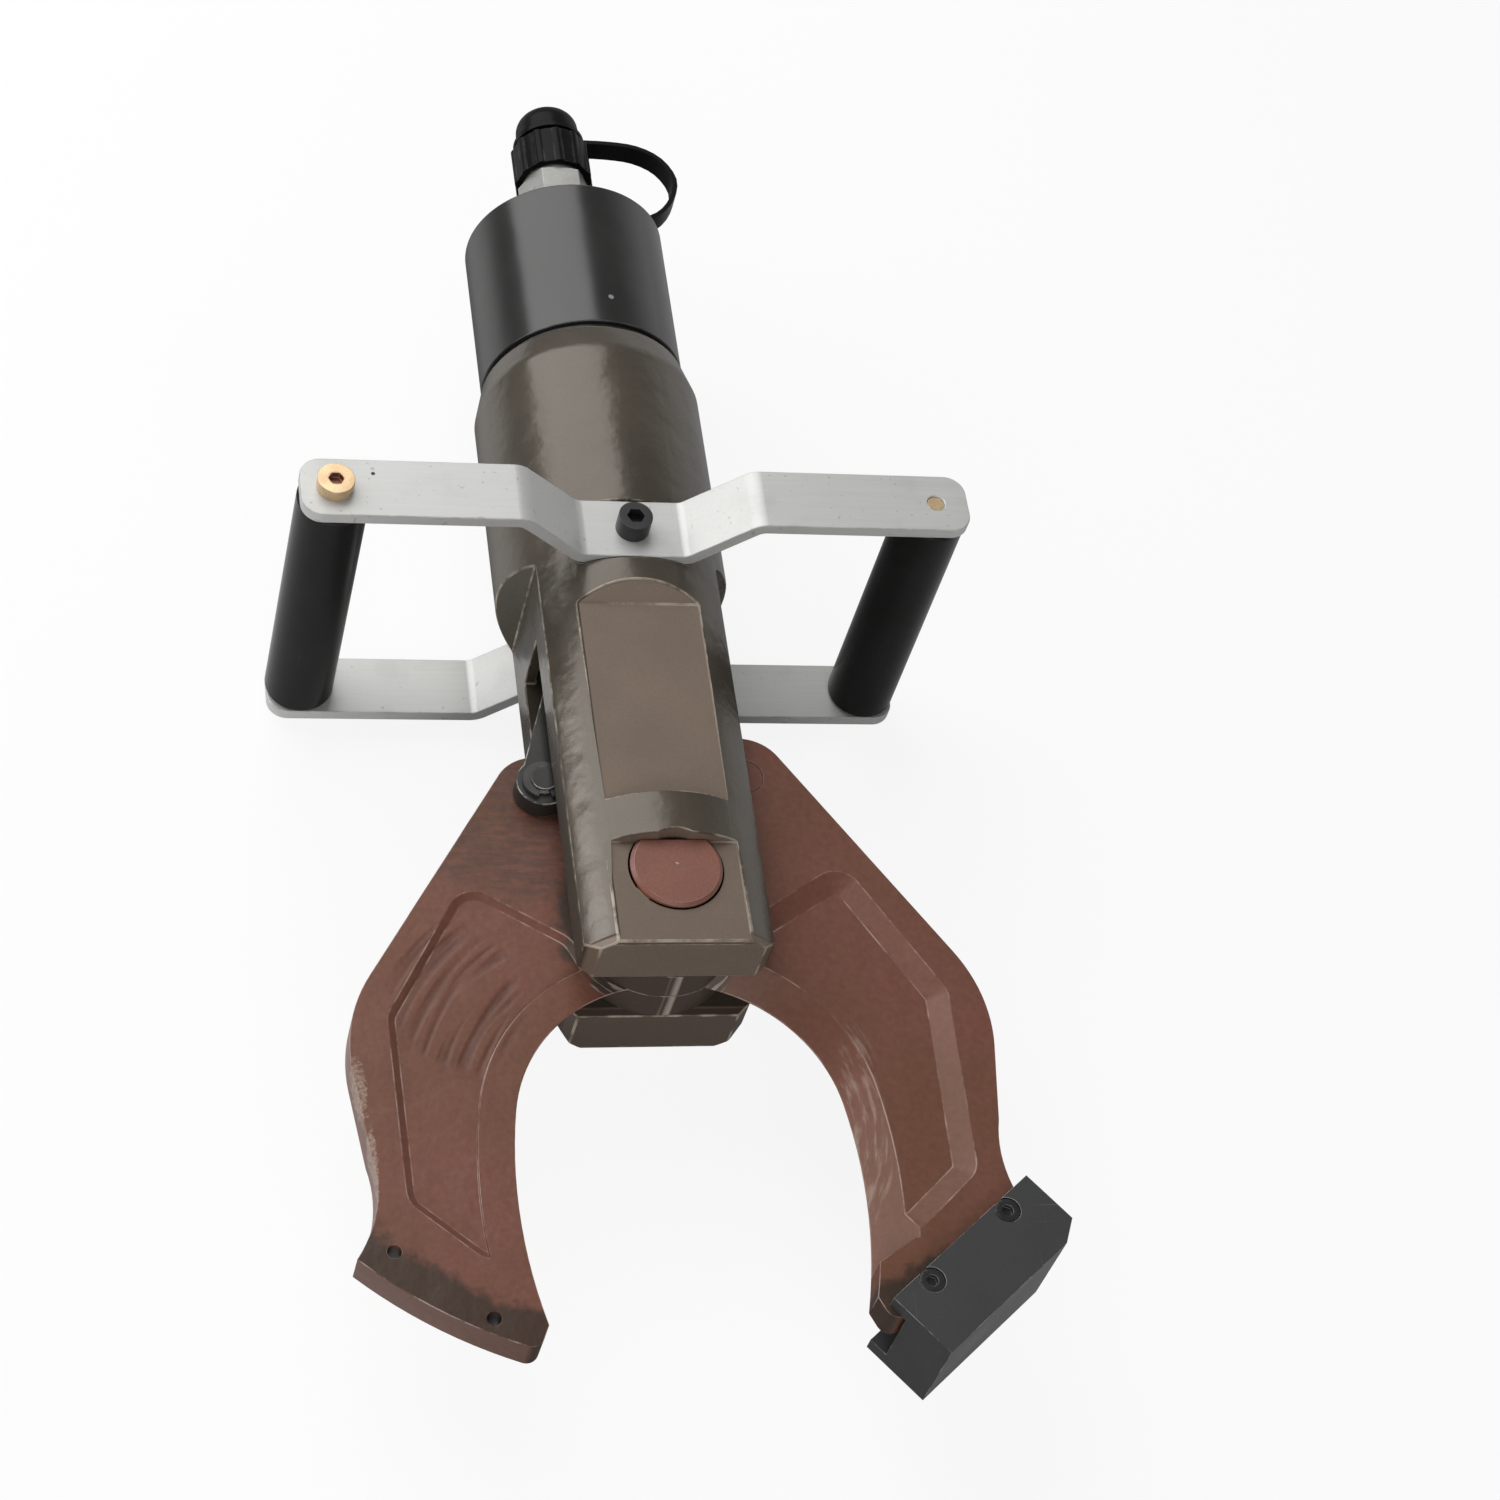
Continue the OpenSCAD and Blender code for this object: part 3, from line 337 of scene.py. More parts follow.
def make_scratch_group():
    tree, given, out = group_frame("scratches", [
        ("Coords", "Vector", None),
        ("Density", "Float", 0.6),
    ], [("Mask", "Float")])
    lit = 0.0
    for angle, squeeze in SCRATCH_LINES:
        streak = noise_node(tree, stretch_node(tree, given["Coords"], squeeze, angle), 1.0, 1, 0.4)
        lit = larger(tree, lit, step_node(tree, streak, 0.72, 0.8))
    field = step_node(tree, noise_node(tree, given["Coords"], 40, 2), 0.5, 0.68)
    tree.links.new(product(tree, lit, field, given["Density"]), out["Mask"])
    return tree


# Worn edges: the piece's own edge attribute, broken up by noise

def make_wear_group():
    tree, given, out = group_frame("edge_wear", [
        ("Coords", "Vector", None),
        ("Edge", "Float", 0.0),
        ("Amount", "Float", 0.5),
        ("Break Scale", "Float", 60.0),
    ], [("Mask", "Float")])
    broken = noise_node(tree, given["Coords"], given["Break Scale"], 6, 0.65)
    held = step_node(tree, broken, 0.42, 0.6)
    tree.links.new(product(tree, given["Edge"], held, given["Amount"]), out["Mask"])
    return tree


# Oval patch round a centre, with a ragged border

def make_patch_group():
    tree, given, out = group_frame("ragged_patch", [
        ("Coords", "Vector", None),
        ("Centre", "Vector", (0, 0, 0)),
        ("Size", "Vector", (1, 1, 1)),
        ("Ragged", "Float", 0.5),
        ("Ragged Scale", "Float", 200.0),
    ], [("Mask", "Float")])
    offset = vector_node(tree, "SUBTRACT", given["Coords"], given["Centre"])
    away = vector_node(tree, "LENGTH", vector_node(tree, "DIVIDE", offset, given["Size"]))
    noise = noise_node(tree, given["Coords"], given["Ragged Scale"], 4, 0.6)
    border = product(tree, math_node(tree, "SUBTRACT", noise, 0.5), given["Ragged"])
    tree.links.new(step_node(tree, total(tree, away, border), 1.0, 0.7), out["Mask"])
    return tree


COATING = make_coating_group()
SCRATCHES = make_scratch_group()
EDGE_WEAR = make_wear_group()
PATCH = make_patch_group()


def place_group(tree, group, links, **values):
    node = tree.nodes.new("ShaderNodeGroup")
    node.node_tree = group
    for label, source in links.items():
        tree.links.new(source, node.inputs[label])
    for label, value in values.items():
        feed(tree, node.inputs[label.replace("_", " ")], value)
    return node.outputs


def object_coords(tree):
    return tree.nodes.new("ShaderNodeTexCoord").outputs["Object"]


def worn_edges(tree, coords, amount, scale=60.0):
    node = tree.nodes.new("ShaderNodeAttribute")
    node.attribute_name = "edge"
    return place_group(tree, EDGE_WEAR, {"Coords": coords, "Edge": node.outputs["Fac"]}, Amount=amount,
                       Break_Scale=scale)["Mask"]


def patch(tree, coords, centre, size, ragged=0.5, scale=200.0):
    return place_group(tree, PATCH, {"Coords": coords}, Centre=centre, Size=size, Ragged=ragged,
                       Ragged_Scale=scale)["Mask"]


def spot(tree, coords, centre, size):
    return patch(tree, coords, centre, size, 0.3, 900.0)


def scratched(tree, coords, density):
    return place_group(tree, SCRATCHES, {"Coords": coords}, Density=density)["Mask"]


def coat(tree, coords, colour, patch_colour, rough, patch_scale, patch_amount, grain, spread):
    return place_group(tree, COATING, {"Coords": coords}, Colour=colour, Patch_Colour=patch_colour,
                       Patch_Scale=patch_scale, Patch_Amount=patch_amount, Grain_Scale=grain, Rough=rough,
                       Rough_Spread=spread)


def bump(tree, shader, height, strength=1.0, distance=1 * MM):
    node = tree.nodes.new("ShaderNodeBump")
    node.inputs["Strength"].default_value = strength
    node.inputs["Distance"].default_value = distance
    tree.links.new(height, node.inputs["Height"])
    tree.links.new(node.outputs["Normal"], shader.inputs["Normal"])


def finish_shader(tree, shader, colour, rough, metallic, specular, tint=(1, 1, 1)):
    shader.inputs["Specular Tint"].default_value = (*tint, 1)
    tree.links.new(colour, shader.inputs["Base Color"])
    tree.links.new(rough, shader.inputs["Roughness"])
    shader.inputs["Metallic"].default_value = metallic
    shader.inputs["Specular IOR Level"].default_value = specular


# Plain finishes: a coat with its own patches, grain, worn edges, scratches and marks

def coated(name, colour, patch_colour, rough, patch_scale=20.0, patch_amount=0.4, grain=900.0,
           grain_height=0.02, spread=0.15, worn=grey(0.3), wear=0.0, scratch=0.0, metallic=0.0, specular=0.5,
           marks=(), wave=0.0):
    material, tree, shader = new_material(name)
    coords = object_coords(tree)
    surface = coat(tree, coords, colour, patch_colour, rough, patch_scale, patch_amount, grain, spread)
    result = surface["Colour"]
    for centre, size, mark_colour in marks:
        result = mix_colour(tree, spot(tree, coords, centre, size), result, mark_colour)
    if wear:
        result = mix_colour(tree, worn_edges(tree, coords, wear), result, worn)
    if scratch:
        result = mix_colour(tree, scratched(tree, coords, scratch), result, worn)
    finish_shader(tree, shader, result, surface["Rough"], metallic, specular)
    height = product(tree, surface["Height"], grain_height)
    if wave:
        height = total(tree, height, product(tree, noise_node(tree, coords, 26, 2), wave))
    bump(tree, shader, height)
    return material


def brushed(name, colour, rough, along, tint=0.12, scratch=0.0, dirt=0.0, metallic=1.0, marks=(), pits=0.0,
            wear=0.0):
    material, tree, shader = new_material(name)
    coords = object_coords(tree)
    lines = noise_node(tree, stretch_node(tree, coords, along), 1.0, 4, 0.6)
    lined = ramp_node(tree, lines, [(0.3, 1.0 - tint), (0.7, 1.0)])
    result = mix_colour(tree, 1.0, colour, lined, "MULTIPLY")
    if dirt:
        cloud = step_node(tree, noise_node(tree, coords, 45, 5, 0.6), 0.5, 0.75)
        result = mix_colour(tree, product(tree, cloud, dirt), result, (0.36, 0.36, 0.35))
    if pits:
        dots = step_node(tree, noise_node(tree, coords, 420, 1), 0.7, 0.78)
        result = mix_colour(tree, product(tree, dots, pits), result, (0.24, 0.24, 0.23))
    if wear:
        result = mix_colour(tree, worn_edges(tree, coords, wear, 90.0), result, grey(0.32))
    for centre, size, mark_colour in marks:
        result = mix_colour(tree, spot(tree, coords, centre, size), result, mark_colour)
    if scratch:
        result = mix_colour(tree, scratched(tree, coords, scratch), result, grey(0.33))
    rough_lines = total(tree, product(tree, lines, 0.2), rough - 0.1)
    finish_shader(tree, shader, result, rough_lines, metallic, 0.5)
    bump(tree, shader, lines, 0.35, 0.03 * MM)
    return material


def laid_over(tree, colour, layers):
    """Each layer is a mask, how strongly it covers, and its colour."""
    for mask, cover, layer_colour in layers:
        colour = mix_colour(tree, product(tree, mask, cover), colour, layer_colour)
    return colour


# Yoke: glossy dark olive on the turned body, duller brown on the milled flats and the lower end, with
# painted shade on the side flats and the rear prong

FLAT_Z = 37.3 * MM
FLAT_R = 44.6 * MM
PAD_TOP_Y = 212.5 * MM
LOW_END_Y = 58.5 * MM
SHADED_PRONG_Y = 60 * MM
SHADED_PRONG_Z = -2 * MM
SIDE_X = 34.75 * MM
SIDE_TOP_Y = 142 * MM


def yoke_finish(name):
    material, tree, shader = new_material(name)
    coords = object_coords(tree)
    turned = coat(tree, coords, (0.045, 0.038, 0.028), (0.064, 0.052, 0.038), rough=0.25, patch_scale=16.0,
                  patch_amount=0.8, grain=1400.0, spread=0.12)
    milled = coat(tree, coords, (0.148, 0.108, 0.08), (0.118, 0.09, 0.07), rough=0.44, patch_scale=26.0,
                  patch_amount=0.7, grain=1500.0, spread=0.15)
    x, y, z = split_node(tree, coords)
    radius = vector_node(tree, "LENGTH", join_node(tree, x, 0.0, z))
    flats = product(tree, above(tree, either_side(tree, z), FLAT_Z, 0.2 * MM),
                    below(tree, radius, FLAT_R, 0.2 * MM),
                    below(tree, y, PAD_TOP_Y, 2.5 * MM))
    brown = larger(tree, flats, below(tree, y, LOW_END_Y, 0.7 * MM))
    # Painted shade: the rear prong's lower end, behind the jaws, is darkened.
    shaded_prong = product(tree, below(tree, y, SHADED_PRONG_Y, 2 * MM), below(tree, z, SHADED_PRONG_Z, 2 * MM))
    # Painted shade: the side flats, up to the slot's top, are darkened and dulled.
    shaded_sides = product(tree, above(tree, either_side(tree, x), SIDE_X, 0.15 * MM),
                    below(tree, y, SIDE_TOP_Y, 1 * MM))
    paint = mix_colour(tree, brown, turned["Colour"], milled["Colour"])
    colour = laid_over(tree, paint, (
        (shaded_prong, 0.7, (0.05, 0.036, 0.028)),
        (worn_edges(tree, coords, 0.9, 70.0), 1.0, (0.34, 0.29, 0.23)),
        (shaded_sides, 0.6, (0.02, 0.018, 0.013)),
    ))
    rough = mix_value(tree, brown, turned["Rough"], milled["Rough"])
    rough = mix_value(tree, shaded_sides, rough, 0.6)
    finish_shader(tree, shader, colour, rough, 0.0, 0.6, tint=(1, 0.91, 0.82))
    grain = product(tree, turned["Height"], 0.03)
    wave = product(tree, noise_node(tree, coords, 50, 3), mix_value(tree, brown, 0.9, 0.1))
    bump(tree, shader, total(tree, grain, wave))
    return material


# Jaws: red-brown primer, oiled at the foot, bare round the pivot, with painted shade on the hub and on the
# tail by the yoke, a painted highlight at the right jaw's mouth and the marks of forging

# Radii are counted from the centre pin, and the left jaw shows the face at LEFT_FACE_Z
PIVOT = tuple(JOINTS["left_jaw_pivot"]["pos_m"])
LEFT_FACE_Z = -0.15 * MM
FOOT_R = 164.25 * MM
RIM_R = 177.4 * MM
RIM_EDGE_R = 176.15 * MM
HUB_R = 36.5 * MM
RUBBED_BELOW = -23 * MM
SHADED_TAIL = ((-0.047, 0.138, LEFT_FACE_Z), (0.05, 0.05, 0.03))
FORGED_POCKET = ((-0.076, 0.056, LEFT_FACE_Z), (0.026, 0.034, 0.008))
CHAFED_FLANK = ((-0.1145, 0.018, LEFT_FACE_Z), (0.004, 0.014, 0.01))
CHAFED_CORNER = ((-0.111, -0.010, LEFT_FACE_Z), (0.002, 0.016, 0.01))
# The right jaw's mouth gets a painted highlight in arcs round the throat, where its inner bevel catches the
# light.
RIGHT_MOUTH = ((0.0645, 0.001, 0.006), (0.008, 0.042, 0.02))


# Painted shade on the left jaw's tail beside the yoke's edge, broken into streaks.
def shaded_tail(tree, coords):
    streaks = noise_node(tree, stretch_node(tree, coords, (90, 420, 90), 24), 1.0, 4, 0.6)
    return product(tree, patch(tree, coords, *SHADED_TAIL, 0.8, 50.0), step_node(tree, streaks, 0.3, 0.62))


def rubbed_hub(tree, hub, reach, x, y, z):
    swirl = noise_node(tree, join_node(tree, product(tree, reach, 900), product(tree, x, 90), z), 1.0, 3)
    return product(tree, hub, step_node(tree, swirl, 0.54, 0.62), below(tree, y, RUBBED_BELOW, 3 * MM))


def throat_lines(tree, throat, turn_round, across, along, detail):
    """Noise drawn out along the arcs round the throat."""
    arcs = join_node(tree, product(tree, throat, across), product(tree, turn_round, along), 0.0)
    return noise_node(tree, arcs, 1.0, detail)


# Chafed paint on the left jaw's flank and corner, and a painted highlight on the right jaw's mouth.
def chafes_and_mouth_highlight(tree, coords, throat, turn_round):
    chafed = larger(tree, patch(tree, coords, *CHAFED_FLANK, 1.6, 420.0),
                    patch(tree, coords, *CHAFED_CORNER, 1.6, 320.0))
    chafed = product(tree, chafed, step_node(tree, noise_node(tree, coords, 700, 4, 0.7), 0.3, 0.62))
    arcs = step_node(tree, throat_lines(tree, throat, turn_round, 700, 6, 3), 0.46, 0.7)
    return larger(tree, chafed, product(tree, patch(tree, coords, *RIGHT_MOUTH, 0.6, 120.0), arcs, 0.6))


def jaw_finish(name):
    material, tree, shader = new_material(name)
    coords = object_coords(tree)
    paint = coat(tree, coords, (0.16, 0.063, 0.045), (0.13, 0.055, 0.032), rough=0.42, patch_scale=18.0,
                 patch_amount=0.9, grain=420.0, spread=0.2)
    x, y, z = split_node(tree, vector_node(tree, "SUBTRACT", coords, PIVOT))
    reach = vector_node(tree, "LENGTH", join_node(tree, x, y, 0.0))
    ragged = math_node(tree, "SUBTRACT", noise_node(tree, coords, 90, 5, 0.6), 0.5)
    reach_ragged = total(tree, reach, product(tree, ragged, 18 * MM))
    foot = product(tree, above(tree, reach_ragged, FOOT_R, 2.75 * MM), below(tree, reach, RIM_R, 0.6 * MM))
    # Bare metal round the pivot, darkened further as painted shade under the yoke.
    hub = below(tree, reach_ragged, HUB_R, 2.5 * MM)
    throat_x, throat_y, _ = split_node(tree, coords)
    throat = vector_node(tree, "LENGTH", join_node(tree, throat_x, throat_y, 0.0))
    turn_round = math_node(tree, "ARCTAN2", throat_y, throat_x)
    flow = product(tree, step_node(tree, throat_lines(tree, throat, turn_round, 190, 1.5, 1), 0.44, 0.72),
                   patch(tree, coords, *FORGED_POCKET, 0.5, 60.0))
    # Edges are worn lighter, more so at the foot's rim, where the lighter line is partly a painted
    # highlight.
    rim_wear_and_highlight = mix_value(tree, above(tree, reach, RIM_EDGE_R, 0.65 * MM), 0.7, 1.6)
    colour = laid_over(tree, paint["Colour"], (
        (foot, 0.9, (0.032, 0.021, 0.015)),
        (shaded_tail(tree, coords), 0.6, (0.06, 0.04, 0.033)),
        (hub, 0.95, (0.05, 0.038, 0.03)),
        (rubbed_hub(tree, hub, reach, x, y, z), 0.8, (0.38, 0.33, 0.28)),
        (flow, 0.55, (0.055, 0.023, 0.02)),
        (chafes_and_mouth_highlight(tree, coords, throat, turn_round), 0.7, (0.38, 0.29, 0.235)),
        (worn_edges(tree, coords, rim_wear_and_highlight, 45.0), 1.0, (0.36, 0.27, 0.24)),
    ))
    rough = mix_value(tree, product(tree, foot, 0.5), paint["Rough"], 0.34)
    finish_shader(tree, shader, colour, rough, 0.0, 0.35, tint=(1, 0.9, 0.82))
    height = math_node(tree, "SUBTRACT", product(tree, paint["Height"], 0.06), product(tree, flow, 0.3))
    bump(tree, shader, total(tree, height, product(tree, noise_node(tree, coords, 60, 3), 0.5)))
    return material


# The other finishes: place, half size and colour of each mark stand together

# A light spot on the barrel is a painted glint, where a lock screw's socket would catch the light.
LOCK_SCREW_GLINT = ((0.0063, 0.3524, 0.04), (0.0013, 0.0013, 0.002), grey(0.25))
PIN_CENTRE = ((0, 0.0865, 0.0399), (0.0007, 0.0007, 0.0015), (0.5, 0.42, 0.38))
STRAP_NICK = ((-0.1002, 0.2395, 0.065), (0.0009, 0.0009, 0.002), grey(0.02))
SOCKET_FLOORS = tuple((place, (0.0042, 0.0042, 0.0035), (0.2, 0.07, 0.04))
                      for place in ((-0.1146, 0.233, 0.068), (0.1146, 0.233, -0.068)))

COATED = {
    "barrel_black": dict(
        colour=(0.013, 0.0125, 0.012), patch_colour=(0.019, 0.018, 0.017), rough=0.24, patch_scale=30.0,
        patch_amount=0.6, grain=1500.0, grain_height=0.015, spread=0.1, worn=grey(0.1), wear=0.5,
        marks=(LOCK_SCREW_GLINT,), wave=0.5),
    "pin_paint": dict(
        colour=(0.215, 0.085, 0.06), patch_colour=(0.18, 0.075, 0.055), rough=0.42, patch_scale=60.0,
        patch_amount=0.7, grain_height=0.04, spread=0.2, worn=(0.42, 0.3, 0.25), wear=1.6, specular=0.4,
        marks=(PIN_CENTRE,)),
    "guide_black": dict(
        colour=(0.037, 0.0375, 0.0385), patch_colour=(0.028, 0.028, 0.029), rough=0.45, patch_scale=50.0,
        patch_amount=0.6, grain=1500.0, grain_height=0.03, wear=1.6, scratch=0.15),
    "linkage_steel": dict(
        colour=(0.024, 0.023, 0.021), patch_colour=(0.014, 0.013, 0.012), rough=0.34, patch_scale=60.0,
        patch_amount=0.7, grain=1200.0, grain_height=0.03, spread=0.2, worn=(0.34, 0.32, 0.3), wear=1.8,
        scratch=0.2, specular=0.4),
    "spring_steel": dict(
        colour=grey(0.06), patch_colour=grey(0.04), rough=0.35, patch_scale=80.0, patch_amount=0.5,
        grain=1500.0, spread=0.1, metallic=0.5),
    "grip_black": dict(
        colour=(0.011, 0.011, 0.0107), patch_colour=grey(0.017), rough=0.24, patch_scale=40.0,
        patch_amount=0.5, grain=2200.0, spread=0.1, worn=grey(0.06), wear=0.3, scratch=0.2, specular=0.08),
    "black_oxide": dict(
        colour=(0.011, 0.011, 0.012), patch_colour=grey(0.02), rough=0.38, patch_scale=120.0,
        patch_amount=0.5, grain=1500.0, spread=0.1, worn=grey(0.12), wear=0.5, scratch=0.1, metallic=0.1),
    "yellow_zinc": dict(
        colour=(0.64, 0.48, 0.28), patch_colour=(0.55, 0.36, 0.2), rough=0.28, patch_scale=140.0,
        patch_amount=0.8, grain=1500.0, spread=0.1, worn=(0.75, 0.68, 0.52), wear=0.5, scratch=0.1,
        metallic=0.45, marks=SOCKET_FLOORS),
    "bright_zinc": dict(
        colour=(0.37, 0.37, 0.355), patch_colour=(0.28, 0.27, 0.25), rough=0.3, patch_scale=90.0,
        patch_amount=0.7, grain=1500.0, wear=0.3, scratch=0.3, metallic=0.5),
    "seal_rubber": dict(colour=(0.015, 0.015, 0.016), patch_colour=grey(0.02), rough=0.55),
    "wear_ring": dict(colour=(0.42, 0.35, 0.22), patch_colour=(0.33, 0.28, 0.18), rough=0.5),
    "cap_black": dict(
        colour=grey(0.007), patch_colour=grey(0.012), rough=0.26, patch_scale=60.0, patch_amount=0.5,
        grain=1600.0, spread=0.1, worn=grey(0.1), wear=0.4, scratch=0.1, specular=0.06),
}
BRUSHED = {
    "bright_steel": dict(colour=(0.42, 0.42, 0.4), rough=0.3, along=(400, 400, 30)),
    "chromed_rod": dict(colour=(0.7, 0.7, 0.71), rough=0.15, along=(900, 40, 900), tint=0.04),
    "bush_bronze": dict(colour=(0.55, 0.35, 0.15), rough=0.3, along=(900, 40, 900)),
    "strap_aluminium": dict(
        colour=(0.53, 0.53, 0.515), rough=0.46, along=(25, 900, 900), tint=0.08, scratch=0.5, dirt=0.3,
        metallic=0.35, marks=(STRAP_NICK,), pits=0.5, wear=0.5),
}
MATERIALS = {"yoke_paint": yoke_finish("yoke_paint"), "jaw_primer": jaw_finish("jaw_primer")}
MATERIALS.update({name: coated(name, **values) for name, values in COATED.items()})
MATERIALS.update({name: brushed(name, **values) for name, values in BRUSHED.items()})


# Copies of CAD nodes: the same form, with the small edge breaks that catch the light

MERGE = 0.004 * MM
FORGED_MERGE = 0.08 * MM
CORNER = 28


def set_material(piece, slot):
    piece.data.materials.clear()
    piece.data.materials.append(MATERIALS[slot])


def merged_copy(node, merge=MERGE):
    deselect_all()
    source = nodes[node]
    piece = source.copy()
    piece.data = source.data.copy()
    bpy.context.collection.objects.link(piece)
    piece.name = "finished_" + node
    piece.data.name = piece.name
    activate(piece)
    bpy.ops.object.mode_set(mode="EDIT")
    bpy.ops.mesh.select_all(action="SELECT")
    bpy.ops.mesh.customdata_custom_splitnormals_clear()
    bpy.ops.mesh.remove_doubles(threshold=merge)
    bpy.ops.mesh.dissolve_limited(angle_limit=math.radians(0.6), use_dissolve_boundaries=False)
    bpy.ops.object.mode_set(mode="OBJECT")
    set_material(piece, SLOT_OF[node])
    return piece


def set_free(piece):
    """Takes a copy off its parent and keeps its place in the mesh."""
    activate(piece)
    bpy.ops.object.parent_clear(type="CLEAR_KEEP_TRANSFORM")
    apply_place(piece)


def break_edges(piece, width, angle=CORNER, clamp=True):
    """Rounds every sharp edge and writes the edge attribute on the new narrow faces."""
    piece.data.materials.append(piece.data.materials[0])
    apply_modifier(piece, "BEVEL", "edge_break", width=width, segments=2, limit_method="ANGLE",
                   angle_limit=math.radians(angle), use_clamp_overlap=clamp, miter_outer="MITER_ARC",
                   loop_slide=False, material=1)
    edge = piece.data.attributes.new("edge", "FLOAT", "FACE")
    for face in piece.data.polygons:
        edge.data[face.index].value = face.material_index
        face.material_index = 0
    piece.data.materials.pop(index=1)
    apply_modifier(piece, "TRIANGULATE", "even_faces", quad_method="BEAUTY", ngon_method="BEAUTY")
    smooth(piece, 48)
    apply_modifier(piece, "WEIGHTED_NORMAL", "flat_faces", keep_sharp=True)


def stand_for(piece, node, rides=True):
    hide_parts(node)
    if rides:
        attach(piece, BODY_OF[node])


for node, piece in nodes.items():
    set_material(piece, SLOT_OF[node])

# Width of each edge break in millimetres
EDGE_BREAKS = {
    "yoke_body": 0.6, "cylinder_barrel": 0.4, "left_jaw": 0.28, "right_jaw": 0.28, "guide_channel": 0.6,
    "front_strap": 0.45, "rear_strap": 0.45, "centre_pin": 0.5, "left_link": 0.4, "right_link": 0.4,
    "crosshead": 0.5, "strap_screws": 0.35, "grip_bolts": 0.3, "guide_screws": 0.25, "left_grip": 0.5,
    "right_grip": 0.5, "port_adapter": 0.3, "coupler_half": 0.35, "dust_cap": 0.5, "left_link_pin": 0.3,
    "right_link_pin": 0.15,
}
# Small facets would hold these bevels back, so their doubles merge further and nothing is clamped.
# The angle, in degrees, is the shallowest corner that is broken.
FORGED = {"yoke_body": CORNER, "left_jaw": 16, "right_jaw": 16}
finished = {}
for node, width in EDGE_BREAKS.items():
    forged = node in FORGED
    finished[node] = merged_copy(node, FORGED_MERGE if forged else MERGE)
    break_edges(finished[node], width * MM, FORGED.get(node, CORNER), clamp=not forged)
    stand_for(finished[node], node)

# The right jaw's link pin is painted over with its jaw
set_material(finished["right_link_pin"], "jaw_primer")


# The cap's crown is moulded fuller than the plain solid under it

CROWN_R = 13.2 * MM
CROWN_LENGTH = 21.4 * MM
CROWN_Y = 475.2 * MM
CROWN_ROUND = 7.5 * MM

deselect_all()
bpy.ops.mesh.primitive_cylinder_add(vertices=64, radius=CROWN_R, depth=CROWN_LENGTH,
                                    location=(0, CROWN_Y, 0), rotation=(math.radians(90), 0, 0))
crown = name_piece("cap_crown")
apply_place(crown)
apply_modifier(crown, "BEVEL", "round_top", width=CROWN_ROUND, segments=9, limit_method="ANGLE",
               angle_limit=math.radians(60))
smooth(crown, 50)
set_material(crown, "cap_black")
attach(crown, "cap")


# The moulded tether is taken off its body and baked in place, between the neck that holds it and the cap
# that pulls it

tether = merged_copy("cap_tether")
break_edges(tether, 0.35 * MM)
set_free(tether)
stand_for(tether, "cap_tether", rides=False)
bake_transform(tether)


# The springs are smoothed copies with meshes of their own, riding with their bodies

for node, joint in (("return_spring", "ram_slide"), ("poppet_spring", "poppet_slide")):
    spring = merged_copy(node)
    smooth(spring, 60)
    stand_for(spring, node)
    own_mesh(spring)


# Floor and backdrop

FLOOR_Z = cad_box[0][2] - 0.5 * MM
FLOOR_Y = 0.15
FLOOR_SIZE = 8
GLOSS_LEFT = -0.8
GLOSS_SPAN = 2.0
GLOSS_ACROSS = ((-0.8, 0.25), (-0.5, 0.3), (-0.22, 0.95), (-0.13, 0.85), (-0.085, 0.55), (-0.055, 0.12),
                (0.0, 0.1), (0.055, 0.12), (0.1, 0.35), (0.2, 0.5), (0.5, 0.62), (1.2, 0.9))


def seen_mask(tree, share):
    """The rays that see the backdrop: straight, mirrored or through glass."""
    path = tree.nodes.new("ShaderNodeLightPath").outputs
    sight = larger(tree, path["Is Camera Ray"], path["Is Glossy Ray"])
    return product(tree, larger(tree, sight, path["Is Transmission Ray"]), share)


def floor_material():
    """White to the camera; the gloss sees it shaded under the tool and far off on the left."""
    material = bpy.data.materials.new("floor_white")
    material.use_nodes = True
    tree = material.node_tree
    tree.nodes.clear()
    output = tree.nodes.new("ShaderNodeOutputMaterial")
    mix = tree.nodes.new("ShaderNodeMixShader")
    matt = tree.nodes.new("ShaderNodeBsdfDiffuse")
    matt.inputs["Color"].default_value = (0.8, 0.8, 0.8, 1)
    glow = tree.nodes.new("ShaderNodeEmission")
    from_left = total(tree, split_node(tree, object_coords(tree))[0], -GLOSS_LEFT)
    stops = [((x - GLOSS_LEFT) / GLOSS_SPAN, level) for x, level in GLOSS_ACROSS]
    gloss = ramp_node(tree, product(tree, from_left, 1 / GLOSS_SPAN), stops)
    mirrored = tree.nodes.new("ShaderNodeLightPath").outputs["Is Glossy Ray"]
    tree.links.new(mix_colour(tree, mirrored, (1, 1, 1), gloss), glow.inputs["Color"])
    tree.links.new(seen_mask(tree, 0.88), mix.inputs["Fac"])
    tree.links.new(matt.outputs["BSDF"], mix.inputs[1])
    tree.links.new(glow.outputs["Emission"], mix.inputs[2])
    tree.links.new(mix.outputs["Shader"], output.inputs["Surface"])
    return material


deselect_all()
bpy.ops.mesh.primitive_plane_add(size=FLOOR_SIZE, location=(0, FLOOR_Y, FLOOR_Z))
floor = name_piece("floor")
apply_place(floor)
floor.data.materials.append(floor_material())


# Lamps: a large soft box behind the coupler, a small one on the left and a fill in front

LAMP_AIM = (0, 0.15, 0.02)


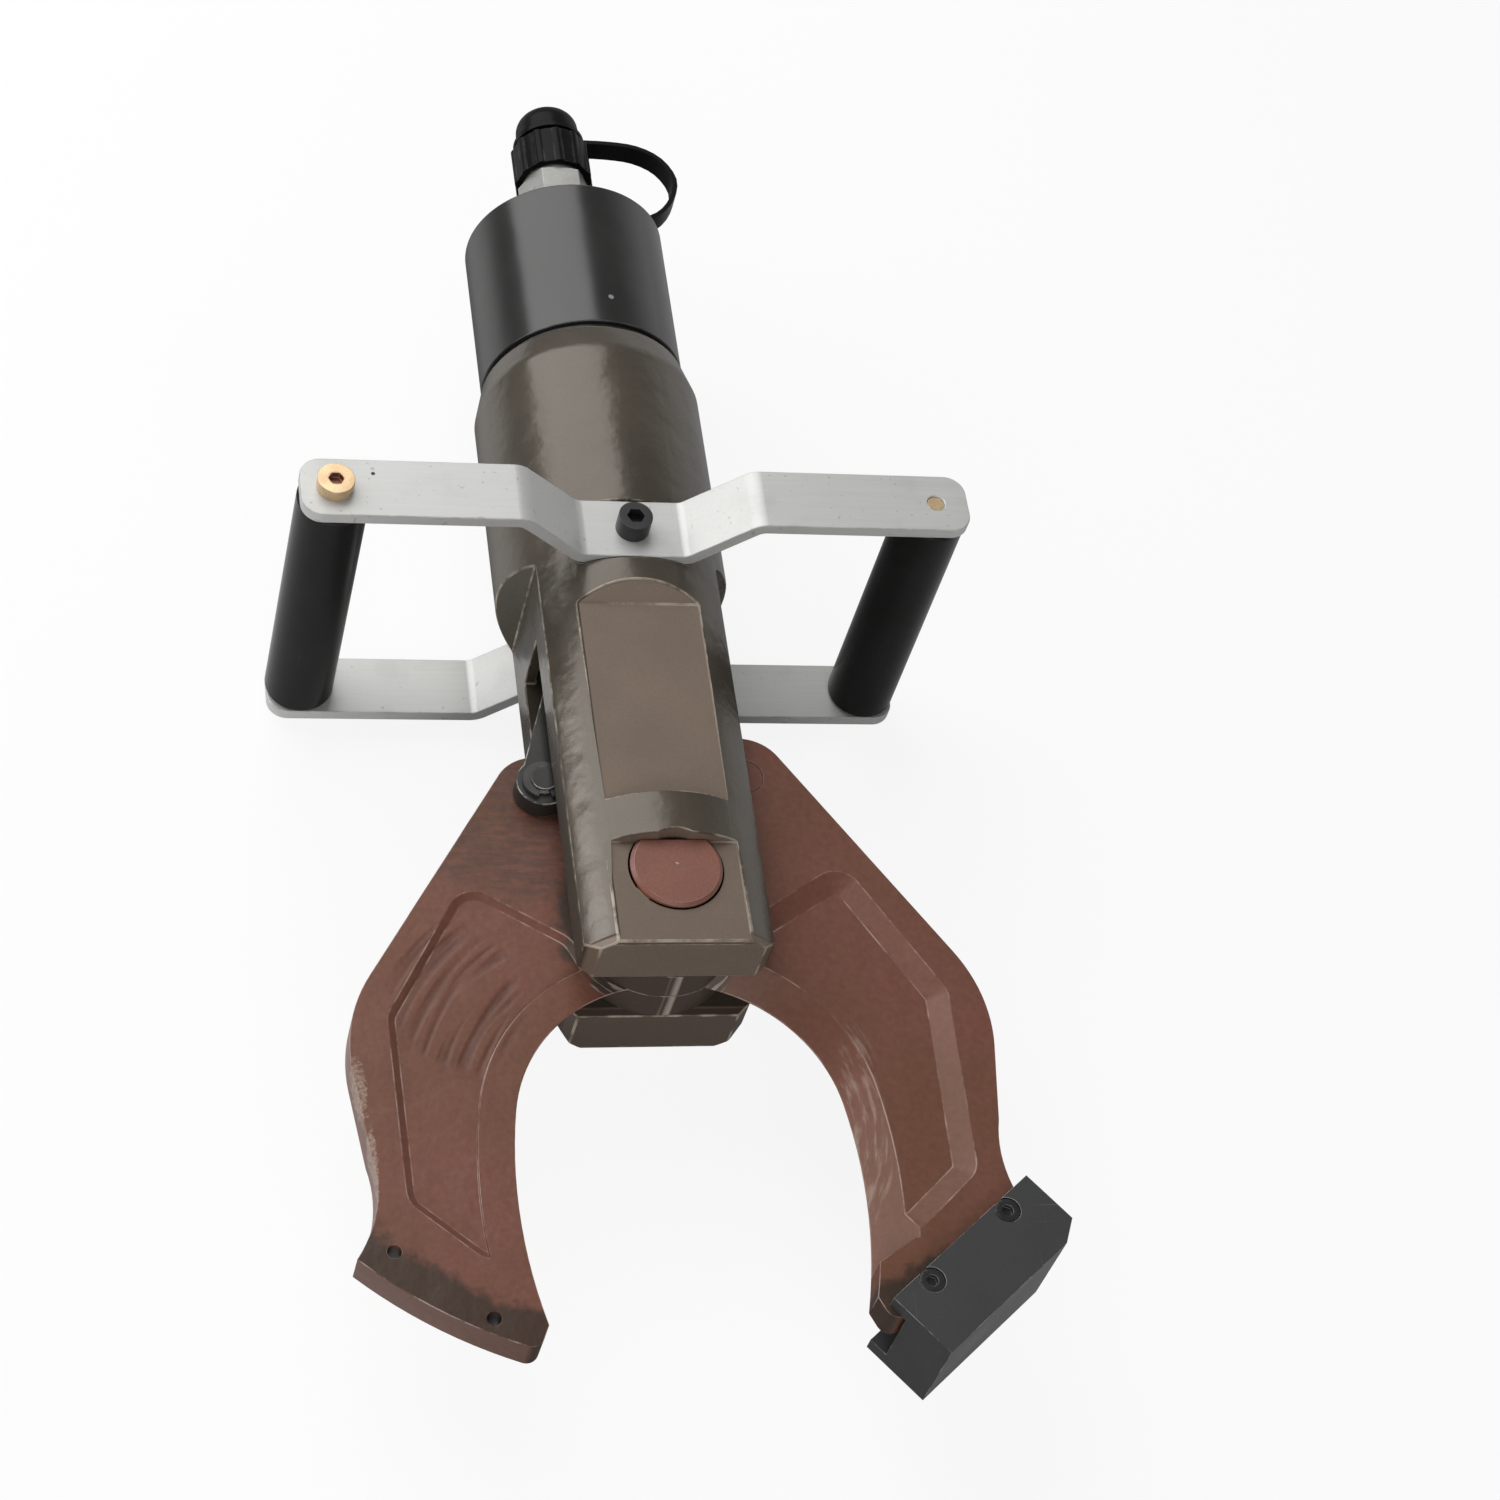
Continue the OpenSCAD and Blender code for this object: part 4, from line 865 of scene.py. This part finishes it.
def area_light(name, place, length, width, power):
    """A soft box that looks at the tool's middle, its length along the tool."""
    data = bpy.data.lights.new(name, "AREA")
    data.shape = "RECTANGLE"
    data.size = length
    data.size_y = width
    data.energy = power
    light = bpy.data.objects.new(name, data)
    bpy.context.collection.objects.link(light)
    aim = (Vector(LAMP_AIM) - Vector(place)).normalized()
    along = Vector((0, 1, 0))
    along = (along - aim * along.dot(aim)).normalized()
    across = (-aim).cross(along)
    light.matrix_world = Matrix.Translation(place) @ Matrix((along, across, -aim)).transposed().to_4x4()


area_light("key_box", place=(-0.59, 1.02, 1.14), length=1.6, width=1.62, power=25)
area_light("side_box", place=(-1.17, 0.66, 0.47), length=0.5, width=0.42, power=4)
area_light("front_fill", place=(-0.3, -1.2, 0.75), length=0.8, width=1.4, power=12)


# The world is white at the horizon and greyer overhead, as the camera and the gloss see it

def studio_world():
    world = bpy.data.worlds.new("studio")
    world.use_nodes = True
    tree = world.node_tree
    tree.nodes.clear()
    output = tree.nodes.new("ShaderNodeOutputWorld")
    soft = tree.nodes.new("ShaderNodeBackground")
    soft.inputs["Color"].default_value = (1, 1, 1, 1)
    soft.inputs["Strength"].default_value = 0.15
    seen = tree.nodes.new("ShaderNodeBackground")
    side_x, _, height = split_node(tree, tree.nodes.new("ShaderNodeTexCoord").outputs["Generated"])
    sky = ramp_node(tree, height, [(0.25, 0.95), (0.6, 0.3)])
    low_sky = mix_value(tree, step_node(tree, side_x, -0.4, 0.5), 0.2, 0.75)
    gloss_sky = mix_value(tree, step_node(tree, height, 0.6, 0.1), 0.28, low_sky)
    mirrored = tree.nodes.new("ShaderNodeLightPath").outputs["Is Glossy Ray"]
    tree.links.new(mix_colour(tree, mirrored, sky, gloss_sky), seen.inputs["Color"])
    mix = tree.nodes.new("ShaderNodeMixShader")
    tree.links.new(seen_mask(tree, 1.0), mix.inputs["Fac"])
    tree.links.new(soft.outputs["Background"], mix.inputs[1])
    tree.links.new(seen.outputs["Background"], mix.inputs[2])
    tree.links.new(mix.outputs["Shader"], output.inputs["Surface"])
    return world


bpy.context.scene.world = studio_world()
bpy.context.scene.view_settings.view_transform = "Standard"
